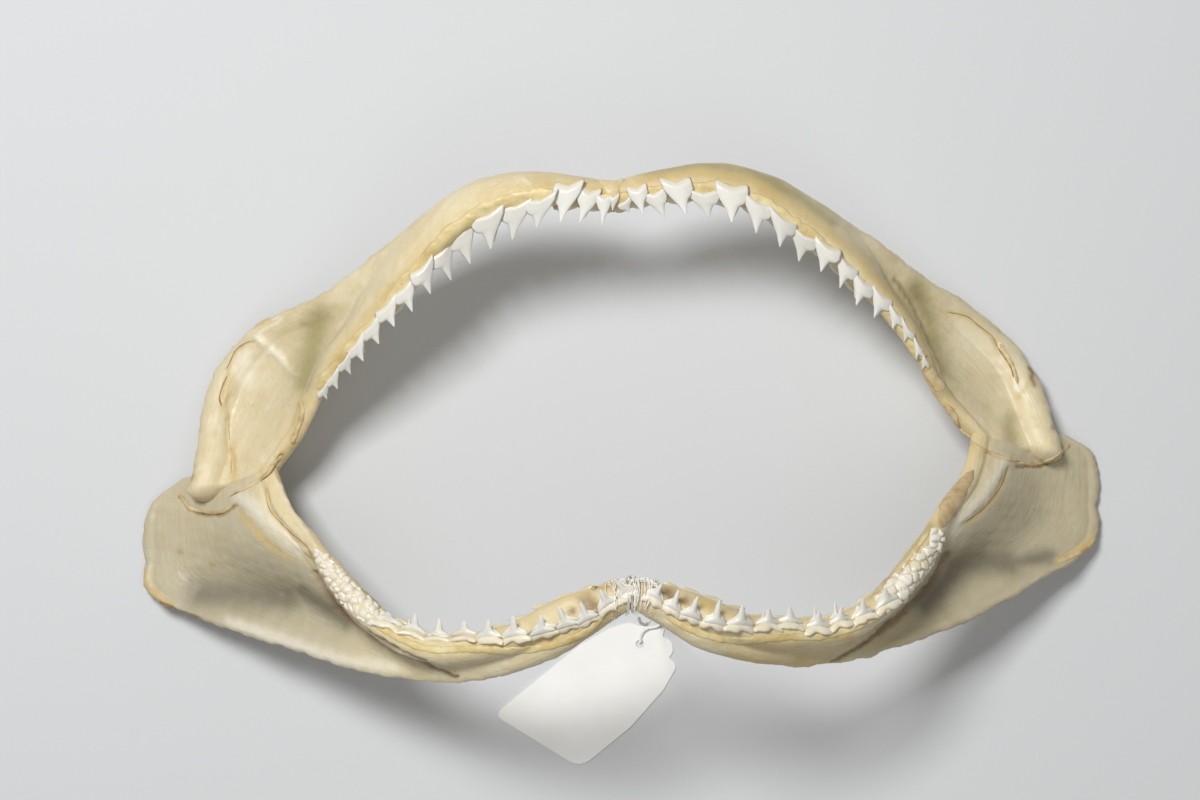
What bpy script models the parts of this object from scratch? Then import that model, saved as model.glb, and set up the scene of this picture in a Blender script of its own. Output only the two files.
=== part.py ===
"""Dried, spread jaws of a requiem shark, lying on their back with the gape upward.

The frame has +X to the right, +Y from the lower jaw to the upper jaw and +Z up from the floor,
the way the open mouth faces. Every size below is in millimetres and is turned into metres where
a mesh is made. Each jaw half is a loft. Its stations are shares of the way from the symphysis
(0), where the two halves meet at the middle, to the jaw joint (1). At a station the section runs
from the tooth edge to the outer edge, with a round bar along each edge and a thinner plate
between them that can be hollowed. Left is the -X side.
"""

import math

import bmesh
import bpy
from mathutils import Matrix, Vector

MM = 0.001
GAP = 0.4  # clearance between pieces that meet
SYMPHYSIS_GAP = 0.3  # between the left and right halves

RINGS = 28  # sections along a jaw half
RING_POINTS = 16  # points round a section
PAST_MIDDLE = 3.0  # a loft starts this far across the middle plane and is cut there
FINE_STEPS = 500  # for walking along a curve
SHARE_STEP = 0.01  # for directions along a jaw half
LIP_REACH = 2.4  # how far in the raised tooth edge slopes away, in tooth edge radii

# Upper jaw half (palatoquadrate): share, distance from the middle, y, z.
UPPER_TOOTH_EDGE = (
    (0.00, 0, 83, 72),
    (0.16, 32, 84, 71),
    (0.26, 54, 78, 68),
    (0.40, 77, 63, 63),
    (0.54, 97, 42, 55),
    (0.65, 111, 27, 48),
    (0.76, 122.5, 12, 41),
    (0.87, 132, -6, 34),
    (1.00, 146, -22, 28),
)
UPPER_BACK_EDGE = (
    (0.00, 0, 85, 56),
    (0.16, 33, 91, 54),
    (0.26, 54, 90.5, 50),
    (0.40, 78, 79, 42),
    (0.54, 105, 61, 31),
    (0.65, 129, 46, 18),
    (0.76, 152, 33.5, 5.5),
    (0.87, 173.5, 10, 3),
    (1.00, 184, -31, 15),
)
UPPER_SHAPE = {
    "tooth_radius": ((0, 8.5), (0.4, 12), (0.65, 10), (0.76, 7), (0.87, 4), (1, 4)),
    "tooth_half": ((0, 5.5), (0.2, 6.5), (0.5, 6.5), (0.65, 5.5), (0.76, 4), (0.87, 3), (1, 4.2)),
    "outer_radius": ((0, 8.5), (0.4, 12), (0.54, 10), (0.68, 7), (0.85, 7.5), (1, 8)),
    "outer_half": ((0, 5.5), (0.4, 6), (0.54, 4.5), (0.68, 4), (0.8, 5.5), (0.9, 7.5), (1, 8.2)),
    "plate_half": ((0, 4), (0.4, 4), (0.6, 3), (0.76, 2.2), (0.9, 2.4), (1, 4.2)),
    "hollow": ((0, 0), (0.4, 0), (0.54, 2.5), (0.66, 6.5), (0.78, 6.5), (0.9, 4), (1, 2)),
    "hollow_lean": ((0, 1), (1, 1)),
    "lip": ((0, 0), (1, 0)),
}

# Lower jaw half (Meckel's cartilage).
LOWER_TOOTH_EDGE = (
    (0.00, 0, -70, 125),
    (0.07, 15, -72, 124),
    (0.14, 31, -77, 122),
    (0.24, 51, -87, 114),
    (0.36, 75, -90.5, 101),
    (0.48, 95, -81.5, 85),
    (0.61, 110, -66, 70),
    (0.74, 124, -52, 57),
    (0.86, 138, -39, 45),
    (1.00, 146.5, -20, 28),
)
LOWER_OUTER_EDGE = (
    (0.00, 0, -79.5, 121),
    (0.07, 15.5, -89.5, 119),
    (0.14, 31, -98.5, 113),
    (0.24, 51, -105.5, 100),
    (0.36, 76, -108.5, 80),
    (0.48, 102, -107, 61),
    (0.61, 137, -98.5, 40),
    (0.73, 174, -86.5, 21),
    (0.82, 203.5, -72.5, 6),
    (0.88, 206.5, -58, 2),
    (0.94, 204.5, -37, 1.5),
    (1.00, 190, -26, 4),
)
LOWER_SHAPE = {
    "tooth_radius": ((0, 6), (0.14, 7), (0.36, 7), (0.6, 7.5), (0.74, 5), (0.85, 4.5), (1, 4.5)),
    "tooth_half": ((0, 6), (0.14, 6.5), (0.36, 6.5), (0.6, 6), (0.74, 3.5), (0.85, 3.2), (1, 3)),
    "outer_radius": ((0, 6), (0.14, 7), (0.36, 6), (0.5, 4), (0.7, 3), (1, 3.5)),
    "outer_half": ((0, 5.5), (0.14, 5.5), (0.36, 4), (0.5, 3), (0.7, 2.6), (1, 3)),
    "plate_half": ((0, 4.5), (0.14, 4.5), (0.36, 3.2), (0.5, 2.5), (0.8, 2.3), (0.93, 2.8), (1, 2.8)),
    "hollow": ((0, 0), (0.14, 0), (0.36, 2.5), (0.5, 6), (0.68, 9), (0.82, 9), (0.92, 4), (1, 0.5)),
    "hollow_lean": ((0, 1.5), (1, 1.5)),
    "lip": ((0, 0), (0.3, 0), (0.42, 4), (0.62, 5), (0.72, 3.5), (0.8, 0.5), (1, 0)),
}

# How the two dried sides differ: (share of the middle of a change, its half width, dx, dy).
SIDES = {
    "left": {
        "sign": -1,
        "upper_back": ((0.78, 0.2, 3, 4.5),),
        "upper_tooth": ((0.52, 0.32, 0, -3.5),),
        "lower_tooth": (),
        "lower_outer": ((0.82, 0.1, 1.5, -1.5),),
    },
    "right": {
        "sign": 1,
        "upper_back": ((0.8, 0.18, -1.5, -2.5), (0.52, 0.16, 1.5, 1.5)),
        "upper_tooth": ((0.52, 0.32, 0, 4.5),),
        "lower_tooth": ((0.18, 0.15, 0, -2),),
        "lower_outer": ((0.89, 0.09, -5.5, 0.5), (0.76, 0.14, -2, 2), (0.1, 0.12, 0, -1.4)),
    },
}

# The knob that ends the upper jaw's rear bar: across it, along it, and out of its face.
CONDYLE_RADII = (8.2, 15, 8)
CONDYLE_INSET = 9.5  # from the outer edge of the end section
CONDYLE_BACK = 11  # from the end section, back along the bar
CONDYLE_AIM = 0.86  # the share of the rear bar that it lines up with
CONDYLE_RISE = 1.2

CROWN_FILL = 0.94  # crown width as a share of the pitch
CROWN_THICKNESS = 3.4  # at most, and no more than this share of the crown's width:
CROWN_SLIMNESS = 0.45
CROWN_SIDES = 6
ROOT_DEPTH = 2.5  # how far a crown goes into its jaw
# first is from the middle plane; pitch and height are tables over the tooth number; row is how
# far in from the tooth edge the teeth stand; cusp has rings of (level, half width, half thickness)
# as shares of the crown's own.
TEETH = {
    "upper": {
        "count": 16,
        "first": 4.5,
        "pitch": ((0, 8), (2, 9.2), (5, 10.7), (9, 10.7), (12, 9.5), (15, 7)),
        "height": ((0, 11), (2, 15), (4, 16.5), (8, 14.5), (12, 10.5), (15, 6)),
        "row": ((0, 1.2), (1, 1.2)),
        "facing": 0,
        "lean": (-0.1, -1, 0.1),
        "cusp": ((0.2, 0.5, 1.0), (0.97, 0.03, 0.2)),
    },
    "lower": {
        "count": 15,
        "first": 8,
        "pitch": ((0, 8), (2, 9.5), (5, 10.5), (9, 10.5), (12, 8.5), (15, 6.5)),
        "height": ((0, 9), (2, 12), (8, 12.5), (10, 7.5), (11, 3.5), (15, 2)),
        "row": ((0, 6), (0.14, 5.5), (0.3, 4), (0.42, 3), (0.6, 1), (1, 1)),
        "facing": 1,
        "lean": (0.2, 1, 0.32),
        "cusp": ((0.1, 0.5, 1.0), (0.3, 0.22, 0.7), (0.97, 0.03, 0.2)),
    },
}

# Paper tag, lying on the floor under the front of the lower jaw. Its corners are (x, y, rounding)
# from the hole, in order round the edge: the far end, a long edge, two scallops, the near end.
TAG_CORNERS = (
    (-64.1, -27.4, 4.5),
    (-28.1, -51.9, 6),
    (-5.5, -35.1, 0),
    (9.1, -20.1, 0),
    (15.5, -10.1, 2.5),
    (12.2, -6.3, 0),
    (14.1, -3.9, 1.5),
    (13.7, 0.4, 1.5),
    (9.9, 3.0, 0),
    (10.7, 6.0, 0),
    (-0.2, 7.8, 0),
    (-3.9, 9.7, 3),
    (-12.2, 7.6, 0),
    (-26.3, 0.5, 0),
)
TAG_THICKNESS = 0.7
TAG_HOLE_PLACE = (2.8, -105)
TAG_HOLE_RADIUS = 1.9
TAG_ROUNDING_STEPS = 4

# Thread: lashed round the symphysis, then hanging to the tag.
THREAD_RADIUS = 0.65
LASHING_TURNS = 3
LASHING_PITCH = 1.9
LASHING_POINTS = 14  # in each turn
LASHING_SLACK = 1.4
THREAD_SPAN = 3.8  # between the points of the hanging tube
THREAD_ROUTE = (
    (2.5, -84.5, 118),
    (3.1, -86.6, 114),
    (4.2, -88.2, 105),
    (5.4, -89.4, 92),
    (6.3, -90.2, 75),
    (7.0, -90.8, 56),
    (7.6, -91.4, 38),
    (8.6, -92.2, 21),
    (10.6, -93.8, 9),
    (12.4, -95.6, 3.0),
    (10.4, -97.6, 2.0),
    (6.0, -98.4, 2.0),
    (3.6, -100.6, 2.0),
    (2.9, -104.6, 0.9),
)

CARTILAGE = ("dried_cartilage", (0.78, 0.70, 0.52), 0.42)
PAPER = ("tag_paper", (0.86, 0.86, 0.83), 0.85)
THREAD = ("white_thread", (0.82, 0.80, 0.76), 0.9)


def smooth(table, at):
    """A value or vector from a table of (position, numbers...), eased through its rows."""
    at = min(max(at, table[0][0]), table[-1][0])
    last = len(table) - 2
    row = next((i for i in range(last) if at <= table[i + 1][0]), last)
    low, high = table[row], table[row + 1]
    before, after = table[max(row - 1, 0)], table[min(row + 2, len(table) - 1)]
    span = high[0] - low[0]
    t = (at - low[0]) / span
    found = []
    for k in range(1, len(low)):
        start = (high[k] - before[k]) / (high[0] - before[0]) * span
        end = (after[k] - low[k]) / (after[0] - low[0]) * span
        value = (2 * t**3 - 3 * t**2 + 1) * low[k] + (3 * t**2 - 2 * t**3) * high[k]
        found.append(value + (t**3 - 2 * t**2 + t) * start + (t**3 - t**2) * end)
    return found[0] if len(found) == 1 else Vector(found)


def nudge(changes, share):
    """The shift one dried side has here: each change is full at its middle and fades both ways."""
    shift = Vector((0, 0, 0))
    for middle, width, dx, dy in changes:
        off = min(1.0, abs(share - middle) / width)
        shift += Vector((dx, dy, 0)) * (1 - off * off) ** 2
    return shift


class JawHalf:
    """One jaw half: its two edges, its thickness, and the side it is on."""

    def __init__(self, kind, side):
        self.kind = kind
        self.side = SIDES[side]
        self.name = f"{kind}_jaw_{side}"
        upper = kind == "upper"
        self.tooth_rail = UPPER_TOOTH_EDGE if upper else LOWER_TOOTH_EDGE
        self.outer_rail = UPPER_BACK_EDGE if upper else LOWER_OUTER_EDGE
        self.shape = UPPER_SHAPE if upper else LOWER_SHAPE

    def edges(self, share):
        tooth = smooth(self.tooth_rail, share)
        outer = smooth(self.outer_rail, share)
        if self.kind == "upper":
            tooth += nudge(self.side["upper_tooth"], share)
            outer += nudge(self.side["upper_back"], share)
        else:
            tooth += nudge(self.side["lower_tooth"], share)
            outer += nudge(self.side["lower_outer"], share)
        return tooth, outer

    def frame(self, share):
        """Tooth edge, direction across to the outer edge, width, and the way the face looks."""
        tooth, outer = self.edges(share)
        ahead = sum(self.edges(min(1, share + SHARE_STEP)), Vector((0, 0, 0)))
        behind = sum(self.edges(max(0, share - SHARE_STEP)), Vector((0, 0, 0)))
        along = Vector((1, 0, 0)) if share == 0 else (ahead - behind).normalized()
        across = outer - tooth
        face = across.cross(along) if self.kind == "upper" else along.cross(across)
        face = face.normalized()
        if face.z < 0:
            face = -face
        return tooth, across.normalized(), across.length, face

    def depth(self, share, width, u):
        """(height of the middle surface, half thickness) at u across the section."""
        size = {key: smooth(table, share) for key, table in self.shape.items()}
        from_tooth = u * width
        from_outer = (1 - u) * width
        tooth_radius = min(size["tooth_radius"], width / 2)
        outer_radius = min(size["outer_radius"], width / 2)
        parts = (
            round_edge(from_tooth, tooth_radius, size["tooth_half"]),
            round_edge(from_outer, outer_radius, size["outer_half"]),
            size["plate_half"] * (4 * u * (1 - u)) ** 0.3,
        )
        half = sum(part**4 for part in parts) ** 0.25
        ridge = max(0.0, 1 - from_tooth / (LIP_REACH * tooth_radius))
        sunk = math.sin(math.pi * u ** size["hollow_lean"]) ** 2
        middle = size["lip"] * ridge**0.7 - size["hollow"] * sunk
        return middle, half

    def place(self, share, u, facing):
        """A point at u: facing is 1 on the outer face, -1 on the inner one, 0 between them."""
        tooth, across, width, face = self.frame(share)
        middle, half = self.depth(share, width, u)
        point = tooth + across * (u * width) + face * (middle + facing * half)
        return Vector((point.x * self.side["sign"], point.y, max(0.0, point.z)))

    def row_place(self, share, row, facing):
        """Where the tooth row stands at a station, given its distance from the tooth edge."""
        tooth, outer = self.edges(share)
        return self.place(share, smooth(row, share) / (outer - tooth).length, facing)

    def section(self, share):
        """The points round the section, from the tooth edge over the outer face and back."""
        ring = []
        for k in range(RING_POINTS):
            turn = 2 * math.pi * k / RING_POINTS
            u = (1 - math.cos(turn)) / 2
            ring.append(self.place(share, u, 1 if turn <= math.pi else -1))
        return ring


def round_edge(distance, radius, half):
    """Half thickness of an elliptical bar, this far in from its edge."""
    off = 1 - distance / radius
    return half * math.sqrt(max(0.0, 1 - off * off))


def add_object(bm, name, finish=None, round_piece=True):
    """A mesh object in metres from a bmesh in millimetres, faces out."""
    bmesh.ops.scale(bm, vec=(MM, MM, MM), verts=bm.verts)
    bmesh.ops.recalc_face_normals(bm, faces=bm.faces)
    mesh = bpy.data.meshes.new(name)
    bm.to_mesh(mesh)
    bm.free()
    if round_piece:
        mesh.shade_smooth()
    obj = bpy.data.objects.new(name, mesh)
    bpy.context.collection.objects.link(obj)
    if finish:
        mesh.materials.append(material(*finish))
    return obj


def material(name, colour, roughness):
    found = bpy.data.materials.get(name)
    if found:
        return found
    made = bpy.data.materials.new(name)
    made.use_nodes = True
    shader = made.node_tree.nodes["Principled BSDF"]
    shader.inputs["Base Color"].default_value = (*colour, 1)
    shader.inputs["Roughness"].default_value = roughness
    shader.inputs["Metallic"].default_value = 0
    return made


def boolean(obj, other, operation):
    """Adds or cuts another object, which stays as a hidden guide."""
    other.hide_render = True
    other.display_type = "WIRE"
    step = obj.modifiers.new(operation.lower(), "BOOLEAN")
    step.operation = operation
    step.solver = "EXACT"
    step.use_self = True
    step.object = other


def loft(bm, rings):
    """Bridges closed rings of points into one tube, and fills its two ends."""
    loops = []
    for ring in rings:
        verts = [bm.verts.new(point) for point in ring]
        loops.append([bm.edges.new((verts[k - 1], verts[k])) for k in range(len(verts))])
    for near, far in zip(loops, loops[1:]):
        bmesh.ops.bridge_loops(bm, edges=near + far)
    ends = [edge for edge in loops[0] + loops[-1] if edge.is_boundary]
    bmesh.ops.edgenet_fill(bm, edges=ends)


def jaw_body(jaw, grow=0.0):
    """The cartilage of one half, cut flat at the symphysis. grow swells it, to cut a neighbour."""
    rings = [jaw.section(k / (RINGS - 1)) for k in range(RINGS)]
    sign = jaw.side["sign"]
    rings.insert(0, [Vector((-sign * PAST_MIDDLE, p.y, p.z)) for p in rings[0]])
    bm = bmesh.new()
    loft(bm, rings)
    bmesh.ops.recalc_face_normals(bm, faces=bm.faces)
    if grow:
        bm.normal_update()
        moves = [vert.normal * grow for vert in bm.verts]
        for vert, move in zip(bm.verts, moves):
            vert.co += move
    cut = bmesh.ops.bisect_plane(
        bm,
        geom=bm.verts[:] + bm.edges[:] + bm.faces[:],
        plane_co=(sign * SYMPHYSIS_GAP / 2, 0, 0),
        plane_no=(-sign, 0, 0),
        clear_outer=True,
    )
    rim = [part for part in cut["geom_cut"] if isinstance(part, bmesh.types.BMEdge)]
    bmesh.ops.edgenet_fill(bm, edges=rim)
    return bm


def condyle(jaw, grow=0.0):
    """The long knob of the upper jaw's rear bar, which sits in the lower jaw's socket."""
    tooth, across, width, face = jaw.frame(1.0)
    end = jaw.edges(1.0)[1]
    back = (jaw.edges(CONDYLE_AIM)[1] - end).normalized()
    out = (across - back * across.dot(back)).normalized()
    up = out.cross(back)
    middle = end - out * CONDYLE_INSET + back * CONDYLE_BACK + up * CONDYLE_RISE
    turn = Matrix((out, back, up)).transposed().to_4x4()
    bm = bmesh.new()
    bmesh.ops.create_uvsphere(bm, u_segments=14, v_segments=9, radius=1)
    bmesh.ops.scale(bm, vec=[r + grow for r in CONDYLE_RADII], verts=bm.verts)
    bmesh.ops.transform(bm, matrix=Matrix.Translation(middle) @ turn, verts=bm.verts)
    bmesh.ops.scale(bm, vec=(jaw.side["sign"], 1, 1), verts=bm.verts)
    return bm


def stations_along(jaw, teeth):
    """The share of each tooth's place, stepped along the row by the teeth's own pitches."""
    wanted = teeth["first"]
    walked = 0.0
    found = []
    here = jaw.row_place(0, teeth["row"], teeth["facing"])
    for k in range(1, FINE_STEPS + 1):
        there = jaw.row_place(k / FINE_STEPS, teeth["row"], teeth["facing"])
        walked += (there - here).length
        here = there
        if walked >= wanted and len(found) < teeth["count"]:
            found.append(k / FINE_STEPS)
            wanted += smooth(teeth["pitch"], len(found) - 0.5)
    return found


def crown(bm, base, along, outward, point, width, height, cusp):
    """One flattened cusp: a root in the jaw, then rings that narrow to the tip."""
    thick = min(CROWN_THICKNESS, CROWN_SLIMNESS * width) / 2
    levels = [(-ROOT_DEPTH / height, cusp[0][1], 0.8), *cusp]
    made = []
    for level, half_width, half_thick in levels:
        middle = base + point * (level * height)
        ring = []
        for k in range(CROWN_SIDES):
            turn = 2 * math.pi * (k + 0.5) / CROWN_SIDES
            sideways = along * (math.cos(turn) * half_width * width / math.cos(math.pi / CROWN_SIDES))
            ring.append(middle + sideways + outward * (math.sin(turn) * half_thick * thick))
        made.append(ring)
    loft(bm, made)


def tooth_row(jaw):
    """All the crowns of one half, each rooted in the tooth edge and leaning as it dried."""
    teeth = TEETH[jaw.kind]
    sign = jaw.side["sign"]
    lean = teeth["lean"]
    point = Vector((lean[0] * sign, lean[1], lean[2])).normalized()
    bm = bmesh.new()
    for number, share in enumerate(stations_along(jaw, teeth)):
        base = jaw.row_place(share, teeth["row"], teeth["facing"])
        ahead = jaw.row_place(min(1, share + SHARE_STEP), teeth["row"], teeth["facing"])
        along = (ahead - base).normalized()
        outward = along.cross(point).normalized()
        height = smooth(teeth["height"], number)
        width = smooth(teeth["pitch"], number) * CROWN_FILL
        crown(bm, base, along, outward, point, width, height, teeth["cusp"])
    return bm


def upper_half(side):
    jaw = JawHalf("upper", side)
    body = add_object(jaw_body(jaw), jaw.name, CARTILAGE)
    boolean(body, add_object(condyle(jaw), f"guide_condyle_{side}"), "UNION")
    boolean(body, add_object(tooth_row(jaw), f"guide_upper_teeth_{side}"), "UNION")
    return body


def lower_half(side):
    jaw = JawHalf("lower", side)
    above = JawHalf("upper", side)
    body = add_object(jaw_body(jaw), jaw.name, CARTILAGE)
    boolean(body, add_object(jaw_body(above, GAP), f"guide_joint_{side}"), "DIFFERENCE")
    boolean(body, add_object(condyle(above, GAP), f"guide_socket_{side}"), "DIFFERENCE")
    boolean(body, add_object(tooth_row(jaw), f"guide_lower_teeth_{side}"), "UNION")
    return body


def tag_outline():
    """Points round the tag, with each corner that has a rounding drawn as a curve."""
    corners = [Vector((x, y)) for x, y, rounding in TAG_CORNERS]
    points = []
    for k, (x, y, rounding) in enumerate(TAG_CORNERS):
        here = corners[k]
        if not rounding:
            points.append(here)
            continue
        back = (corners[k - 1] - here).normalized() * rounding
        ahead = (corners[(k + 1) % len(corners)] - here).normalized() * rounding
        for step in range(TAG_ROUNDING_STEPS + 1):
            t = step / TAG_ROUNDING_STEPS
            points.append(here + back * (1 - t) ** 2 + ahead * t**2)
    return points


def tag():
    place = Matrix.Translation((*TAG_HOLE_PLACE, 0))
    bm = bmesh.new()
    verts = [bm.verts.new((*point, 0)) for point in tag_outline()]
    sheet = bm.faces.new(verts)
    grown = bmesh.ops.extrude_face_region(bm, geom=[sheet])
    top = [part for part in grown["geom"] if isinstance(part, bmesh.types.BMVert)]
    bmesh.ops.translate(bm, vec=(0, 0, TAG_THICKNESS), verts=top)
    bmesh.ops.transform(bm, matrix=place, verts=bm.verts)
    body = add_object(bm, "tag", PAPER, round_piece=False)
    hole = bmesh.new()
    bmesh.ops.create_cone(
        hole, segments=16, radius1=TAG_HOLE_RADIUS, radius2=TAG_HOLE_RADIUS, depth=8, cap_ends=True
    )
    bmesh.ops.transform(hole, matrix=place, verts=hole.verts)
    boolean(body, add_object(hole, "guide_tag_hole"), "DIFFERENCE")
    return body


def tube(points, name, radius):
    """A thread as a round tube with closed ends."""
    curve = bpy.data.curves.new(name, "CURVE")
    curve.dimensions = "3D"
    curve.bevel_depth = radius * MM
    curve.bevel_resolution = 2
    curve.use_fill_caps = True
    spline = curve.splines.new("POLY")
    spline.points.add(len(points) - 1)
    for knot, point in zip(spline.points, points):
        knot.co = (*(point * MM), 1)
    curve.materials.append(material(*THREAD))
    obj = bpy.data.objects.new(name, curve)
    bpy.context.collection.objects.link(obj)
    return obj


def lashing():
    """Turns of thread round the lower jaw where its two halves meet."""
    jaw = JawHalf("lower", "right")
    tooth, across, width, face = jaw.frame(0)
    middle = tooth + across * (width / 2)
    clear = THREAD_RADIUS + GAP + LASHING_SLACK
    points = []
    for k in range(LASHING_TURNS * LASHING_POINTS + 1):
        turn = 2 * math.pi * (k + 0.5) / LASHING_POINTS
        x = (k / LASHING_POINTS - LASHING_TURNS / 2) * LASHING_PITCH
        skin = jaw.place(0, (1 - math.cos(turn)) / 2, 1 if math.sin(turn) > 0 else -1)
        points.append(skin + (skin - middle).normalized() * clear + Vector((x, 0, 0)))
    return tube(points, "symphysis_lashing", THREAD_RADIUS)


def hanging_thread():
    """The thread from the lashing down to the hole in the tag, on one smooth curve."""
    steps = len(THREAD_ROUTE) - 1
    route = [(k / steps, *place) for k, place in enumerate(THREAD_ROUTE)]
    fine = [smooth(route, k / FINE_STEPS) for k in range(FINE_STEPS + 1)]
    points = [fine[0]]
    for point in fine:
        if (point - points[-1]).length >= THREAD_SPAN:
            points.append(point)
    return tube(points, "tag_thread", THREAD_RADIUS)


def centre_over_origin(objects):
    """Parents the pieces to an empty that brings the middle of their common box over the origin."""
    bpy.context.view_layer.update()
    state = bpy.context.evaluated_depsgraph_get()
    places = []
    for obj in objects:
        finished = obj.evaluated_get(state)
        places += [obj.matrix_world @ vert.co for vert in finished.to_mesh().vertices]
        finished.to_mesh_clear()
    root = bpy.data.objects.new("jaws", None)
    bpy.context.collection.objects.link(root)
    for axis in (0, 1):
        along = [place[axis] for place in places]
        root.location[axis] = -(min(along) + max(along)) / 2
    for obj in bpy.data.objects:
        if obj is not root:
            obj.parent = root


def main():
    for obj in list(bpy.data.objects):
        bpy.data.objects.remove(obj, do_unlink=True)
    made = []
    for side in SIDES:
        made.append(upper_half(side))
        made.append(lower_half(side))
    made.append(tag())
    made.append(lashing())
    made.append(hanging_thread())
    centre_over_origin(made)


main()
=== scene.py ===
"""The looks of a shark's dried jaws: cartilage, gums, teeth, thread and tag.

The jaws lie on their back with the gape upward. Shapes are worked out in millimetres in the
drawing's own frame, whose middle is the photograph's middle of the gape, and are moved into the
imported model's frame when a piece is finished. Left is the -X side.
"""

import math

import bmesh
import bpy
import numpy as np
from mathutils import Matrix, Vector
from mathutils.bvhtree import BVHTree


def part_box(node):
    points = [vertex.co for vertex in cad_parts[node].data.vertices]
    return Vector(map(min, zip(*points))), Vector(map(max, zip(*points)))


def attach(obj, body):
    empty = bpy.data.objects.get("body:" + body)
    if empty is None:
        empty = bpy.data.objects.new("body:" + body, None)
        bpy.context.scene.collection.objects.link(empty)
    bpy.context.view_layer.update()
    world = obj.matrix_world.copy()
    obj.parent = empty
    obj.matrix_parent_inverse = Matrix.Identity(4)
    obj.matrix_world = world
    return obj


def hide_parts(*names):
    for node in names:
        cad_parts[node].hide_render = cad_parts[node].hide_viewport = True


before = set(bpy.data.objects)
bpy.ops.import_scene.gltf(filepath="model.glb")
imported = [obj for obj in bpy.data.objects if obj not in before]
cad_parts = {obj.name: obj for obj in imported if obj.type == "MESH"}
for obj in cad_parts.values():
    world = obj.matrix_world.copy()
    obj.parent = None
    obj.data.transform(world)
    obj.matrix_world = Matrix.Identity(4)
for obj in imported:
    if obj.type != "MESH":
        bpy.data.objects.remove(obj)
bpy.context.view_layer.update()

MM = 0.001

# ---------------------------------------------------------------- the drawing and the photograph

# The drawing's y of the lowest point of the left half of the lower jaw.
LOWER_LEFT_BOTTOM = -109.39
left_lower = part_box("lower_jaw_left")
left_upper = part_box("upper_jaw_left")
right_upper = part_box("upper_jaw_right")
MIDDLE_X = (left_upper[1].x + right_upper[0].x) / 2
MIDDLE_Y = left_lower[0].y - LOWER_LEFT_BOTTOM * MM
SHIFT = np.array((MIDDLE_X, MIDDLE_Y, 0.0))

PHOTO_WIDTH = 1200
PHOTO_MIDDLE = (622, 400)  # the pixel that the drawing's middle falls on
PIXEL_SIZE = 0.41  # mm at the reference height
REFERENCE_HEIGHT = 54  # mm above the floor
CAMERA_DISTANCE = 1150  # mm from the reference height
PHOTO_TURN = math.radians(2.7)  # the object is turned this much in the photograph
SENSOR_WIDTH = 36  # mm


def seen_at(points):
    """The photograph's pixels of points in the drawing, in millimetres."""
    size = PIXEL_SIZE * (CAMERA_DISTANCE + REFERENCE_HEIGHT - points[:, 2]) / CAMERA_DISTANCE
    right = points[:, 0] * math.cos(PHOTO_TURN) - points[:, 1] * math.sin(PHOTO_TURN)
    up = points[:, 0] * math.sin(PHOTO_TURN) + points[:, 1] * math.cos(PHOTO_TURN)
    return np.stack((PHOTO_MIDDLE[0] + right / size, PHOTO_MIDDLE[1] - up / size), axis=1)


def camera():
    lens = bpy.data.cameras.new("camera")
    lens.sensor_width = SENSOR_WIDTH
    lens.lens = SENSOR_WIDTH * CAMERA_DISTANCE / (PHOTO_WIDTH * PIXEL_SIZE)
    lens.shift_x = (PHOTO_WIDTH / 2 - PHOTO_MIDDLE[0]) / PHOTO_WIDTH
    eye = bpy.data.objects.new("camera", lens)
    place = Vector((MIDDLE_X, MIDDLE_Y, (REFERENCE_HEIGHT + CAMERA_DISTANCE) * MM))
    eye.matrix_world = Matrix.Translation(place) @ Matrix.Rotation(-PHOTO_TURN, 4, "Z")
    bpy.context.collection.objects.link(eye)
    bpy.context.scene.camera = eye


camera()

# ---------------------------------------------------------------- the jaws' sizes, as in the solids

SHARE_STEP = 0.01  # of a half's length, for the way its edges run
SKIN_STEP = (0.004, 0.4)  # of the length and in mm, for the way its skin faces
LIP_REACH = 2.4  # times the radius of the tooth edge
SYMPHYSIS_GAP = 0.3  # mm between the two halves
EDGE_SHARES = 161  # steps of the tables that map_edge makes, along and round the section
EDGE_TURNS = 241
EDGE_REACH = (-14.0, 30.0)  # mm behind and in front of the brink
EDGE_TURN = 0.85 * math.pi  # how far round the section the brink is looked for
BRINK_EASE = 6  # neighbours on each side that even out the brink
HALF_LENGTH = 215  # mm along a half's tooth row, to turn millimetres into a share
SECTION_POWER = 8  # how sharply the rounded edges meet the plate

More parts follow.
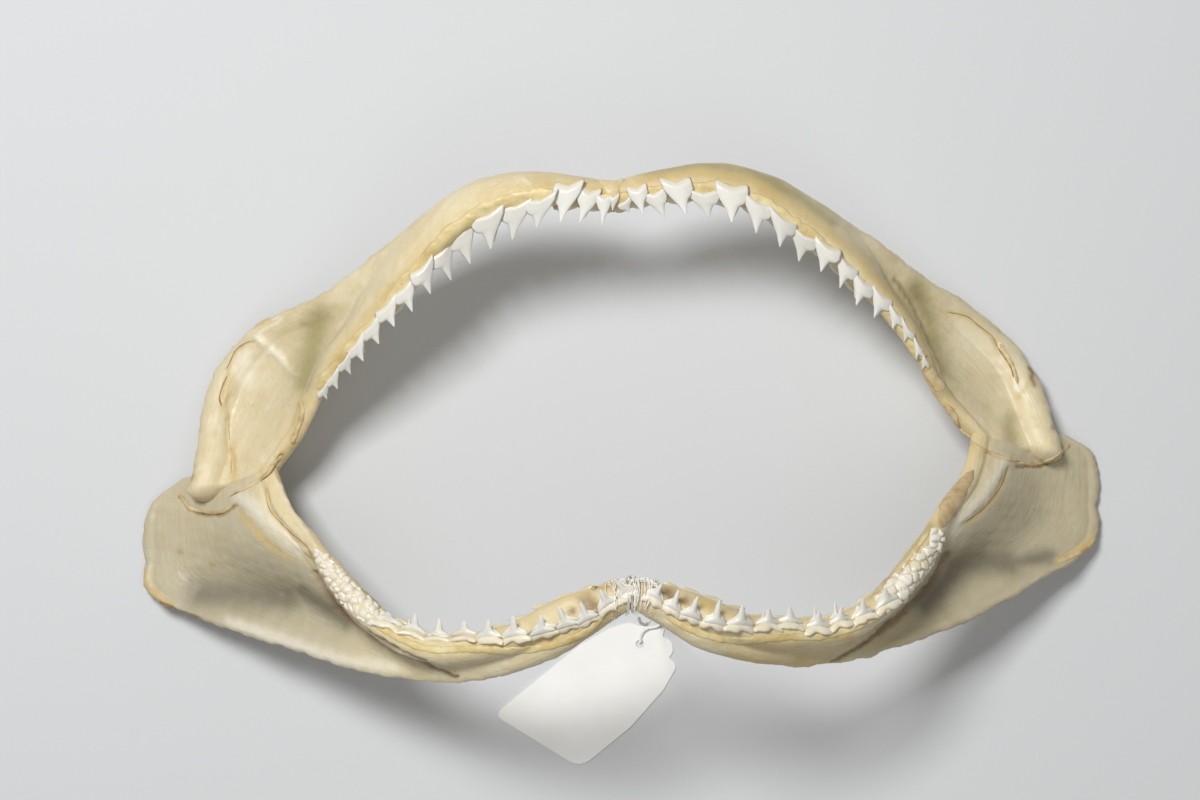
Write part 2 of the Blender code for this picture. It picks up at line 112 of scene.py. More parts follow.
# The edges of a right half: (share of the length, x, y, z), in mm. The shapes are tables of
# (share of the length, number), in mm.
UPPER_TOOTH_EDGE = (
    (0.00, 0, 83, 72),
    (0.16, 32, 84, 71),
    (0.26, 54, 78, 68),
    (0.40, 77, 63, 63),
    (0.54, 97, 42, 55),
    (0.65, 111, 27, 48),
    (0.76, 122.5, 12, 41),
    (0.87, 132, -6, 34),
    (1.00, 146, -22, 28),
)
UPPER_OUTER_EDGE = (
    (0.00, 0, 85, 56),
    (0.16, 33, 91, 54),
    (0.26, 54, 90.5, 50),
    (0.40, 78, 79, 42),
    (0.54, 105, 61, 31),
    (0.65, 129, 46, 18),
    (0.76, 152, 33.5, 5.5),
    (0.87, 173.5, 10, 3),
    (1.00, 184, -31, 15),
)
UPPER_SHAPE = {
    "tooth_radius": ((0, 8.5), (0.4, 12), (0.65, 10), (0.76, 7), (0.87, 4), (1, 4)),
    "tooth_half": ((0, 5.5), (0.2, 6.5), (0.5, 6.5), (0.65, 5.5), (0.76, 4), (0.87, 3), (1, 4.2)),
    "outer_radius": ((0, 8.5), (0.4, 12), (0.54, 10), (0.68, 7), (0.85, 7.5), (1, 8)),
    "outer_half": ((0, 5.5), (0.4, 6), (0.54, 4.5), (0.68, 4), (0.8, 5.5), (0.9, 7.5), (1, 8.2)),
    "plate_half": ((0, 4), (0.4, 4), (0.6, 3), (0.76, 2.2), (0.9, 2.4), (1, 4.2)),
    "hollow": ((0, 0), (0.4, 0), (0.54, 2.5), (0.66, 6.5), (0.78, 6.5), (0.9, 4), (1, 2)),
    "hollow_lean": ((0, 1), (1, 1)),
    "lip": ((0, 0), (1, 0)),
}
LOWER_TOOTH_EDGE = (
    (0.00, 0, -70, 125),
    (0.07, 15, -72, 124),
    (0.14, 31, -77, 122),
    (0.24, 51, -87, 114),
    (0.36, 75, -90.5, 101),
    (0.48, 95, -81.5, 85),
    (0.61, 110, -66, 70),
    (0.74, 124, -52, 57),
    (0.86, 138, -39, 45),
    (1.00, 146.5, -20, 28),
)
LOWER_OUTER_EDGE = (
    (0.00, 0, -79.5, 121),
    (0.07, 15.5, -89.5, 119),
    (0.14, 31, -98.5, 113),
    (0.24, 51, -105.5, 100),
    (0.36, 76, -108.5, 80),
    (0.48, 102, -107, 61),
    (0.61, 137, -98.5, 40),
    (0.73, 174, -86.5, 21),
    (0.82, 203.5, -72.5, 6),
    (0.88, 206.5, -58, 2),
    (0.94, 204.5, -37, 1.5),
    (1.00, 190, -26, 4),
)
LOWER_SHAPE = {
    "tooth_radius": ((0, 6), (0.14, 7), (0.36, 7), (0.6, 7.5), (0.74, 5), (0.85, 4.5), (1, 4.5)),
    "tooth_half": ((0, 6), (0.14, 6.5), (0.36, 6.5), (0.6, 6), (0.74, 3.5), (0.85, 3.2), (1, 3)),
    "outer_radius": ((0, 6), (0.14, 7), (0.36, 6), (0.5, 4), (0.7, 3), (1, 3.5)),
    "outer_half": ((0, 5.5), (0.14, 5.5), (0.36, 4), (0.5, 3), (0.7, 2.3), (1, 2.5)),
    "plate_half": (
        (0, 4.5), (0.14, 4.5), (0.36, 3.2), (0.5, 2.5), (0.8, 2.3), (0.93, 2.8), (1, 2.8)
    ),
    "hollow": ((0, 0), (0.14, 0), (0.36, 2.5), (0.5, 6), (0.68, 9), (0.82, 9), (0.92, 4), (1, 0.5)),
    "hollow_lean": ((0, 1.5), (1, 1.5)),
    "lip": ((0, 0), (0.3, 0), (0.42, 4), (0.62, 5), (0.72, 3.5), (0.8, 0.5), (1, 0)),
}
# How the edges of each side differ from those tables, as nudge takes it.
SIDES = {
    "left": {
        "sign": -1,
        "upper_outer": ((0.78, 0.2, 3, 4.5),),
        "upper_tooth": ((0.52, 0.32, 0, -3.5),),
        "lower_tooth": (),
        "lower_outer": ((0.82, 0.1, 1.5, -1.5),),
    },
    "right": {
        "sign": 1,
        "upper_outer": ((0.8, 0.18, -1.5, -2.5), (0.52, 0.16, 1.5, 1.5)),
        "upper_tooth": ((0.52, 0.32, 0, 4.5),),
        "lower_tooth": ((0.18, 0.15, 0, -2),),
        "lower_outer": (
            (0.89, 0.09, -5.5, 0.5),
            (0.76, 0.14, -2, 2),
            (0.1, 0.12, 0, -1.4),
            (0.82, 0.055, -3.6, 0.6),
        ),
    },
}


def smooth(table, at):
    """Values or vectors from a table of (position, numbers...), eased through its rows."""
    table = np.array(table, float)
    at = np.clip(np.atleast_1d(np.asarray(at, float)), table[0, 0], table[-1, 0])
    row = np.clip(np.searchsorted(table[:, 0], at, side="left") - 1, 0, len(table) - 2)
    low = table[row]
    high = table[row + 1]
    before = table[np.maximum(row - 1, 0)]
    after = table[np.minimum(row + 2, len(table) - 1)]
    span = (high[:, :1] - low[:, :1])
    t = (at[:, None] - low[:, :1]) / span
    start = (high - before) / (high[:, :1] - before[:, :1]) * span
    end = (after - low) / (after[:, :1] - low[:, :1]) * span
    value = (2 * t**3 - 3 * t**2 + 1) * low + (3 * t**2 - 2 * t**3) * high
    value += (t**3 - 2 * t**2 + t) * start + (t**3 - t**2) * end
    return value[:, 1] if table.shape[1] == 2 else value[:, 1:]


def unit(vectors):
    return vectors / np.maximum(np.linalg.norm(vectors, axis=-1, keepdims=True), 1e-9)


def nudge(changes, share):
    """The shift of an edge: each change is (middle, width, x, y), in shares and millimetres."""
    shift = np.zeros((len(share), 3))
    for middle, width, dx, dy in changes:
        off = np.minimum(1.0, np.abs(share - middle) / width)
        shift += ((1 - off * off) ** 2)[:, None] * np.array((dx, dy, 0.0))
    return shift


def round_edge(distance, radius, half):
    """Half the thickness at this distance in from a rounded edge."""
    off = 1 - distance / radius
    return half * np.sqrt(np.maximum(0.0, 1 - off * off))


def alike(*parts):
    """Numbers and rows of numbers as rows of one length."""
    return np.broadcast_arrays(*(np.atleast_1d(np.asarray(part, float)) for part in parts))


def across_at(turn):
    """The share across a section at an angle round it: 0 at the tooth edge, 1 at the outer one."""
    return (1 - np.cos(turn)) / 2


def walk(points):
    """How far each point is along a line of points."""
    return np.concatenate(([0], np.cumsum(np.linalg.norm(np.diff(points, axis=0), axis=1))))


class JawHalf:
    """One jaw half: its two edges, its thickness, and the side it is on."""

    def __init__(self, kind, side):
        self.kind = kind
        self.side = side
        self.name = f"{kind}_jaw_{side}"
        self.upper = kind == "upper"
        self.sign = SIDES[side]["sign"]
        self.tooth_rail = UPPER_TOOTH_EDGE if self.upper else LOWER_TOOTH_EDGE
        self.outer_rail = UPPER_OUTER_EDGE if self.upper else LOWER_OUTER_EDGE
        self.tooth_changes = SIDES[side][f"{kind}_tooth"]
        self.outer_changes = SIDES[side][f"{kind}_outer"]
        self.shape = UPPER_SHAPE if self.upper else LOWER_SHAPE
        self.map_edge()

    def edges(self, share):
        """The points of the tooth edge and of the outer edge, for the right side."""
        share = np.clip(share, 0, 1)
        tooth = smooth(self.tooth_rail, share) + nudge(self.tooth_changes, share)
        outer = smooth(self.outer_rail, share) + nudge(self.outer_changes, share)
        return tooth, outer

    def frame(self, share):
        """Tooth edge, direction across to the outer edge, width, and the way the face looks."""
        tooth, outer = self.edges(share)
        ahead = sum(self.edges(share + SHARE_STEP))
        behind = sum(self.edges(share - SHARE_STEP))
        along = unit(ahead - behind)
        along[share <= 0] = (1, 0, 0)
        across = outer - tooth
        face = unit(np.cross(across, along) if self.upper else np.cross(along, across))
        face *= np.where(face[:, 2:] < 0, -1, 1)
        return tooth, unit(across), np.linalg.norm(across, axis=1), face

    def depth(self, share, width, u):
        """(height of the middle surface, half thickness) at u across the section."""
        size = {key: smooth(table, share) for key, table in self.shape.items()}
        tooth_radius = np.minimum(size["tooth_radius"], width / 2)
        outer_radius = np.minimum(size["outer_radius"], width / 2)
        parts = (
            round_edge(u * width, tooth_radius, size["tooth_half"]),
            round_edge((1 - u) * width, outer_radius, size["outer_half"]),
            size["plate_half"] * np.maximum(0, 4 * u * (1 - u)) ** 0.3,
        )
        half = sum(part**SECTION_POWER for part in parts) ** (1 / SECTION_POWER)
        ridge = np.maximum(0.0, 1 - u * width / (LIP_REACH * tooth_radius))
        sunk = np.sin(math.pi * u ** size["hollow_lean"]) ** 2
        middle = size["lip"] * ridge**0.7 - size["hollow"] * sunk
        return middle, half

    def place(self, share, u, facing, swell=1.0):
        """Points at u across the section: facing is 1 on the outer face and -1 on the inner one."""
        share, u, facing, swell = alike(share, u, facing, swell)
        tooth, across, width, face = self.frame(share)
        middle, half = self.depth(share, width, u)
        rise = middle + facing * half * swell
        point = tooth + across * (u * width)[:, None] + face * rise[:, None]
        point[:, 0] *= self.sign
        return point

    def toward_gape(self, share):
        """The level way from the tooth row into the gape."""
        ahead = self.place(share + SHARE_STEP, 0.0, 0.0) - self.place(share - SHARE_STEP, 0.0, 0.0)
        ahead[share <= SHARE_STEP] = (self.sign, 0, 0)
        toward = unit(np.stack((ahead[:, 1], -ahead[:, 0], np.zeros(len(ahead))), axis=1))
        wanted = -1 if self.upper else 1
        return toward * np.where(toward[:, 1:2] * wanted < 0, -1, 1)

    def map_edge(self):
        """Tables for walking round the section from its brink, the line nearest the gape."""
        shares = np.linspace(0, 1, EDGE_SHARES)
        turns = np.linspace(-EDGE_TURN, EDGE_TURN, EDGE_TURNS)
        share, turn = (part.ravel() for part in np.meshgrid(shares, turns, indexing="ij"))
        skin = self.place(share, across_at(turn), np.sign(turn))
        skin = skin.reshape(EDGE_SHARES, EDGE_TURNS, 3)
        reach = np.einsum("ijk,ik->ij", skin, self.toward_gape(shares))
        brink = np.argmax(reach, axis=1).astype(float)
        evenly = np.ones(2 * BRINK_EASE + 1) / (2 * BRINK_EASE + 1)
        brink = np.convolve(np.pad(brink, BRINK_EASE, mode="edge"), evenly, mode="valid")
        self.edge_distances = np.linspace(*EDGE_REACH, EDGE_TURNS)
        self.edge_turns = np.zeros((EDGE_SHARES, EDGE_TURNS))
        for k in range(EDGE_SHARES):
            walked = walk(skin[k])
            walked -= np.interp(brink[k], np.arange(EDGE_TURNS), walked)
            self.edge_turns[k] = np.interp(self.edge_distances, walked, turns)

    def turn_at(self, share, distance):
        """The angle round the section at this distance over the brink."""
        row = np.clip(share, 0, 1) * (EDGE_SHARES - 1)
        span = self.edge_distances[-1] - self.edge_distances[0]
        column = np.clip((distance - self.edge_distances[0]) / span, 0, 1) * (EDGE_TURNS - 1)
        low_row = np.minimum(row.astype(int), EDGE_SHARES - 2)
        low_column = np.minimum(column.astype(int), EDGE_TURNS - 2)
        a = row - low_row
        b = column - low_column
        table = self.edge_turns
        near = table[low_row, low_column] * (1 - b) + table[low_row, low_column + 1] * b
        far = table[low_row + 1, low_column] * (1 - b) + table[low_row + 1, low_column + 1] * b
        return near * (1 - a) + far * a

    def over_brink(self, share, distance, lift=0.0):
        """Points this far from the brink over the front, or behind it where negative."""
        share, distance, lift = alike(share, distance, lift)

        def skin(share, distance, inside=1.0):
            turn = self.turn_at(share, distance)
            return self.place(share, across_at(turn), np.sign(turn) * inside)

        here = skin(share, distance)
        if not np.any(lift):
            return here
        ahead = skin(share + SKIN_STEP[0], distance) - skin(share - SKIN_STEP[0], distance)
        over = skin(share, distance + SKIN_STEP[1]) - skin(share, distance - SKIN_STEP[1])
        out = unit(np.cross(ahead, over))
        inward = skin(share, distance, 0.0) + (self.place(share, 0.5, 0.0) - here) * 0.05
        flip = np.einsum("ij,ij->i", out, here - inward) < 0
        out[flip] *= -1
        return here + out * lift[:, None]


# ---------------------------------------------------------------- modelling helpers


def lay(bm, columns, rows, place):
    """Bends a flat grid into a closed skin. place gives its points from the share along it, v,
    and the angle round it, turn. From 0 to a half turn is the side toward the camera.
    """
    made = bmesh.ops.create_grid(bm, x_segments=columns, y_segments=rows, size=1)["verts"]
    at = np.clip(np.array([vert.co[:2] for vert in made]) / 2 + 0.5, 0, 1)
    v = at[:, 0]
    turn = at[:, 1] * 2 * math.pi
    for vert, point in zip(made, place(v, turn)):
        vert.co = point
    return made, v, turn


def painted(*names):
    """A new bmesh whose points can hold these values."""
    bm = bmesh.new()
    for name in names:
        bm.verts.layers.float.new(name)
    return bm


def paint(bm, verts, name, values):
    layer = bm.verts.layers.float[name]
    for vert, value in zip(verts, values):
        vert[layer] = value


def weld(bm, distance=0.004):
    bmesh.ops.remove_doubles(bm, verts=bm.verts[:], dist=distance)
    bmesh.ops.dissolve_degenerate(bm, edges=bm.edges[:], dist=distance / 4)
    bmesh.ops.recalc_face_normals(bm, faces=bm.faces[:])


FLOOR_CLEAR = 0.02  # mm that every piece stays above the floor


def finish_piece(bm, name, finish, replaced=()):
    """A piece from a bmesh in the drawing's millimetres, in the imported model's frame."""
    mesh = bpy.data.meshes.new(name)
    bm.to_mesh(mesh)
    bm.free()
    places = np.zeros(len(mesh.vertices) * 3)
    mesh.vertices.foreach_get("co", places)
    places = places.reshape(-1, 3)
    places[:, 2] = np.maximum(places[:, 2], FLOOR_CLEAR)
    mesh.vertices.foreach_set("co", (places * MM + SHIFT).ravel())
    mesh.update()
    mesh.shade_smooth()
    mesh.materials.append(finish)
    piece = bpy.data.objects.new(name, mesh)
    bpy.context.collection.objects.link(piece)
    if replaced:
        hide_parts(*replaced)
    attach(piece, "root")
    return piece


def swells(points, layers):
    """The sum of uneven layers: (height, size of its swells, seed)."""
    return sum(height * wobble(points, size, seed) for height, size, seed in layers)


WAVES = 7


def wobble(points, size, seed):
    """Smooth uneven values, about -1 to 1, with swells of about this size in millimetres."""
    chance = np.random.default_rng(seed)
    total = np.zeros(len(points))
    for _ in range(WAVES):
        way = unit(chance.normal(size=3)) * (2 * math.pi / size) * chance.uniform(0.6, 1.5)
        total += np.sin(points @ way + chance.uniform(0, 2 * math.pi))
    return total * 2 / WAVES


def top_side(turn):
    """1 on the middle of a strip's face, 0 at its edges and underneath."""
    return np.maximum(np.sin(turn), 0)


def under_side(turn):
    """1 on the middle of a strip's underside, 0 at its edges and on top."""
    return np.maximum(-np.sin(turn), 0)


def closing(v, start, end=None):
    """1 along a strip, and rounded down to 0 over these shares of its length at its ends."""
    return np.clip(np.minimum(v / start, (1 - v) / (end or start)), 0, 1) ** 0.5


def away_from(pixels, path):
    """How far each pixel is from a path of pixels."""
    corners = np.array(path, float)
    nearest = np.linalg.norm(pixels - corners[0], axis=1)
    for start, end in zip(corners, corners[1:]):
        leg = end - start
        share = np.clip((pixels - start) @ leg / (leg @ leg), 0, 1)
        gap = np.linalg.norm(pixels - start - share[:, None] * leg, axis=1)
        nearest = np.minimum(nearest, gap)
    return nearest


# ---------------------------------------------------------------- materials


class Finish:
    """A material built of nodes round one shader."""

    def __init__(self, name, roughness, **settings):
        self.material = bpy.data.materials.new(name)
        self.material.use_nodes = True
        self.tree = self.material.node_tree
        self.shader = self.tree.nodes["Principled BSDF"]
        self.shader.inputs["Roughness"].default_value = roughness
        for key, value in settings.items():
            self.shader.inputs[key.replace("_", " ")].default_value = value
        self.where = self.node("ShaderNodeTexCoord").outputs["Object"]

    def node(self, kind, **settings):
        made = self.tree.nodes.new(kind)
        for key, value in settings.items():
            setattr(made, key, value)
        return made

    def link(self, source, target):
        self.tree.links.new(source, target)

    def noise(self, scale, detail, rough=0.55, where=None, stretch=None):
        """An uneven value. scale is in swells to the metre."""
        made = self.node("ShaderNodeTexNoise")
        made.inputs["Scale"].default_value = scale
        made.inputs["Detail"].default_value = detail
        made.inputs["Roughness"].default_value = rough
        source = where or self.where
        if stretch:
            turn = self.node("ShaderNodeMapping")
            turn.inputs["Scale"].default_value = stretch
            self.link(source, turn.inputs["Vector"])
            source = turn.outputs["Vector"]
        self.link(source, made.inputs["Vector"])
        return made.outputs["Fac"]

    def drawn(self, name):
        """A value painted on the piece's own points."""
        return self.node("ShaderNodeAttribute", attribute_name=name).outputs["Fac"]

    def sheet(self, name):
        return self.node("ShaderNodeUVMap", uv_map=name).outputs["UV"]

    def span(self, value, low, high, start=0.0, end=1.0):
        made = self.node("ShaderNodeMapRange")
        names = ("From Min", "From Max", "To Min", "To Max")
        for key, number in zip(names, (low, high, start, end)):
            made.inputs[key].default_value = number
        self.link(value, made.inputs["Value"])
        return made.outputs["Result"]

    def sum(self, kind, one, two):
        made = self.node("ShaderNodeMath", operation=kind)
        for socket, part in zip(made.inputs, (one, two)):
            if isinstance(part, (int, float)):
                socket.default_value = part
            else:
                self.link(part, socket)
        return made.outputs["Value"]

    def ramp(self, value, *stops):
        made = self.node("ShaderNodeValToRGB")
        band = made.color_ramp.elements
        while len(band) < len(stops):
            band.new(0.5)
        for stop, (place, colour) in zip(band, stops):
            stop.position = place
            stop.color = (*colour, 1)
        self.link(value, made.inputs["Fac"])
        return made.outputs["Color"]

    def mix(self, share, one, two, blend="MIX"):
        made = self.node("ShaderNodeMix", data_type="RGBA", blend_type=blend)
        if isinstance(share, (int, float)):
            made.inputs[0].default_value = share
        else:
            self.link(share, made.inputs[0])
        for socket, part in zip((made.inputs[6], made.inputs[7]), (one, two)):
            if isinstance(part, tuple):
                socket.default_value = (*part, 1)
            else:
                self.link(part, socket)
        return made.outputs[2]

    def fade(self, base, tone, value, low, high, most):
        """A tone over the base: none where the value is low, this share of it where it is high."""
        return self.mix(self.span(value, low, high, 0, most), base, tone)

    def stain_shade_and_highlight(self, base, tone, name, share):
        """A tone over the base where a value is painted on the piece's points. It carries stains
        and dark joints, and painted shade and painted highlight.
        """
        return self.mix(self.sum("MULTIPLY", self.drawn(name), share), base, tone)

    def colour(self, source):
        self.link(source, self.shader.inputs["Base Color"])

    def rough(self, source):
        self.link(source, self.shader.inputs["Roughness"])

    def bump(self, *layers):
        """Layers are (height, distance in millimetres)."""
        last = None
        for height, depth in layers:
            made = self.node("ShaderNodeBump")
            made.inputs["Strength"].default_value = 1.0
            made.inputs["Distance"].default_value = depth * MM
            self.link(height, made.inputs["Height"])
            if last:
                self.link(last, made.inputs["Normal"])
            last = made.outputs["Normal"]
        self.link(last, self.shader.inputs["Normal"])


IVORY = (0.80, 0.71, 0.48)
CREAM = (0.72, 0.60, 0.36)
STRAW = (0.62, 0.49, 0.25)
GREYED = (0.35, 0.32, 0.235)
OCHRE = (0.60, 0.45, 0.19)
# Umber: cracks and stains, and the painted shadow under the lower tooth band.
UMBER = (0.20, 0.105, 0.035)
# Olive tissue, and painted shade in the hollows and grooves of the upper jaw.
OLIVE = (0.36, 0.31, 0.14)
# Painted shade for the valleys of the lower flanges.
VALLEY_SHADE = (0.13, 0.12, 0.085)
# Chalk: paler cartilage, and the painted highlight of a bump and of a flange's rim.
CHALK = (0.86, 0.82, 0.70)
GAP_BROWN = (0.30, 0.22, 0.14)


def cartilage_finish():
    """Dried cartilage: waxy cream with straw blotches, growth streaks, cracks and stains, with
    painted shade in its valleys and hollows and under the tooth band, and painted highlight on a
    bump and a rim.
    """
    paint = Finish(
        "dried_cartilage",
        0.42,
        Subsurface_Weight=0.06,
        Subsurface_Radius=(0.004, 0.0025, 0.0012),
        Subsurface_Scale=1.0,
    )
    lie = paint.sheet("lie")
    broad = paint.noise(14, 3)
    blotch = paint.noise(55, 5, 0.6)
    streak = paint.noise(1.0, 5, 0.6, where=lie, stretch=(60, 900, 1))
    speck = paint.noise(420, 3, 0.7)
    base = paint.ramp(broad, (0.32, IVORY), (0.68, CREAM))
    mottle = paint.noise(130, 6, 0.65)
    for tone, value, low, high, most in (
        (STRAW, blotch, 0.5, 0.72, 0.5),
        (STRAW, mottle, 0.52, 0.7, 0.4),
        (CHALK, mottle, 0.46, 0.3, 0.35),
        (CHALK, streak, 0.5, 0.8, 0.28),
        (STRAW, streak, 0.5, 0.25, 0.3),
    ):
        base = paint.fade(base, tone, value, low, high, most)
    patchy = paint.span(blotch, 0.3, 0.7, 0.55, 1.0)
    # Stains, the grey of thin cartilage, and the painted shade and painted highlight that the marks
    # lay down.
    for tone, name, share in (
        (GREYED, "thin", 0.85),
        (CHALK, "pale", 0.5),
        (VALLEY_SHADE, "valley_shade", 0.72),
        (OLIVE, "olive", patchy),
        (OCHRE, "ochre", patchy),
        (UMBER, "umber", patchy),
    ):
        base = paint.stain_shade_and_highlight(base, tone, name, share)
    paint.colour(paint.fade(base, UMBER, speck, 0.66, 0.74, 0.25))
    paint.rough(paint.span(paint.noise(150, 4), 0.3, 0.7, 0.34, 0.55))
    paint.bump((broad, 1.0), (streak, 0.25), (paint.noise(260, 5, 0.6), 0.2), (speck, 0.05))
    return paint.material


def gum_finish():
    """The dried gum: ochre, glossy in places, wrinkled."""
    paint = Finish(
        "dried_gum", 0.38, Subsurface_Weight=0.1, Subsurface_Radius=(0.003, 0.0015, 0.0008)
    )
    broad = paint.noise(90, 4)
    fine = paint.noise(420, 5, 0.65)
    base = paint.ramp(
        broad, (0.3, (0.76, 0.67, 0.40)), (0.5, (0.70, 0.57, 0.28)), (0.72, (0.56, 0.41, 0.16))
    )
    base = paint.fade(base, (0.78, 0.68, 0.44), fine, 0.55, 0.75, 0.5)
    paint.colour(paint.mix(paint.drawn("umber"), base, (0.30, 0.15, 0.05)))
    paint.rough(paint.span(fine, 0.3, 0.7, 0.3, 0.55))
    paint.bump((broad, 0.9), (fine, 0.25))
    return paint.material


def tooth_finish(name, crown, root, tip):
    """Enamel or root: its colours at the broad end, where it is stained, and at the tip."""
    paint = Finish(name, 0.22, Coat_Weight=0.25, Coat_Roughness=0.12)
    vary = paint.noise(300, 4)
    fine = paint.noise(900, 3)
    base = paint.mix(paint.span(paint.drawn("level"), 0.1, 0.9), crown, tip)
    base = paint.fade(base, root, vary, 0.5, 0.8, 0.25)
    base = paint.mix(paint.drawn("root"), base, root)
    paint.colour(paint.stain_shade_and_highlight(base, GAP_BROWN, "gap", 0.85))
    paint.rough(paint.span(vary, 0.3, 0.7, 0.18, 0.34))
    paint.bump((fine, 0.02))
    return paint.material


def tissue_finish(name, light, dark, roughness=0.45):
    """Scraps of dried skin and muscle."""
    paint = Finish(name, roughness)
    broad = paint.noise(160, 5, 0.6)
    strands = paint.noise(500, 4, 0.6, stretch=(1, 0.35, 1))
    base = paint.ramp(broad, (0.35, light), (0.65, dark))
    paint.colour(paint.fade(base, light, strands, 0.55, 0.8, 0.5))
    paint.bump((broad, 0.4), (strands, 0.15))
    return paint.material


def thread_finish():
    paint = Finish("white_thread", 0.85, Sheen_Weight=0.3)
    fibre = paint.noise(2600, 3)
    paint.colour(paint.ramp(fibre, (0.3, (0.82, 0.79, 0.75)), (0.7, (0.95, 0.93, 0.90))))
    paint.bump((fibre, 0.08))
    return paint.material


def paper_finish():
    """Card with a soft tooth, a little warm shading and faint fibres."""
    paint = Finish("tag_paper", 0.78)
    cloud = paint.noise(35, 3)
    fibre = paint.noise(900, 5, 0.7, stretch=(1, 3, 1))
    base = paint.ramp(cloud, (0.3, (0.85, 0.85, 0.82)), (0.7, (0.91, 0.91, 0.89)))
    paint.colour(paint.fade(base, (0.80, 0.79, 0.74), fibre, 0.6, 0.8, 0.3))
    paint.bump((fibre, 0.03), (cloud, 0.2))
    return paint.material


cartilage = cartilage_finish()
gum = gum_finish()
enamel, spare_enamel, root_bone, worn_bone = (
    tooth_finish(*look)
    for look in (
        ("tooth_enamel", (0.79, 0.77, 0.70), (0.72, 0.63, 0.44), (0.83, 0.82, 0.77)),
        ("spare_tooth_enamel", (0.80, 0.76, 0.62), (0.70, 0.58, 0.34), (0.84, 0.82, 0.72)),
        ("tooth_root", (0.80, 0.72, 0.54), (0.68, 0.56, 0.34), (0.82, 0.76, 0.62)),
        ("worn_tooth", (0.82, 0.78, 0.66), (0.74, 0.64, 0.43), (0.84, 0.82, 0.74)),
    )
)
membrane = tissue_finish("brown_membrane", (0.60, 0.47, 0.27), (0.40, 0.27, 0.12), 0.35)
scraps = tissue_finish("pale_tissue", (0.70, 0.58, 0.34), (0.48, 0.33, 0.14))
crack_brown = tissue_finish("crack_brown", (0.42, 0.27, 0.11), (0.19, 0.10, 0.04), 0.6)
thread = thread_finish()
paper = paper_finish()

# ---------------------------------------------------------------- cartilage

SKIN_GRID = (300, 260)
CAP_SHARE = 0.03  # of the columns, at each end, that round the end off
SYMPHYSIS_ROUND = 1.6  # mm, how far the rounding reaches at the symphysis
SYMPHYSIS_LENGTH = 230  # mm, to turn that into a share of the half
SYMPHYSIS_DIP = 4.4  # mm, how far the upper jaw's back dips where its halves meet
END_ROUND = 3.0  # mm, how far the rounding goes past the end
KNOB_REACH = 5.5  # mm, how far the knob goes past the end of the upper jaw
KNOB_RADIUS = 8.0  # mm
END_STEP = 0.06  # of the length, for the way the end points
SKIN_SWELLS = ((0.35, 26, 3), (0.12, 7, 4), (0.05, 2.6, 5))  # as swells takes them
EDGE_SWELLS = ((0.55, 13, 6), (0.3, 4, 7))  # the same, along the outer edge
MARK_JITTER = 0.9  # pixels
# The values that the marks paint: stains, with painted shade and painted highlight among them.
STAINS_SHADE_AND_HIGHLIGHT = ("umber", "ochre", "olive", "valley_shade", "pale")
SHEET_SIZE = (0.25, 0.06)  # m, along and across, of the sheet that the streaks lie on

# Cracks that are marked on the skin and laid on it as well, by pixel of the photograph.
LEFT_BROW = ((254, 341), (246, 343), (236, 350), (229, 364), (226, 370))
RIGHT_BROW = ((948, 312), (968, 317), (980, 327), (992, 336), (998, 348))
RIGHT_SEAM = ((968, 440), (980, 448), (996, 454), (1008, 458), (1020, 462))
LEFT_FLANGE = ((265, 490), (270, 510), (290, 532), (307, 547), (315, 565))

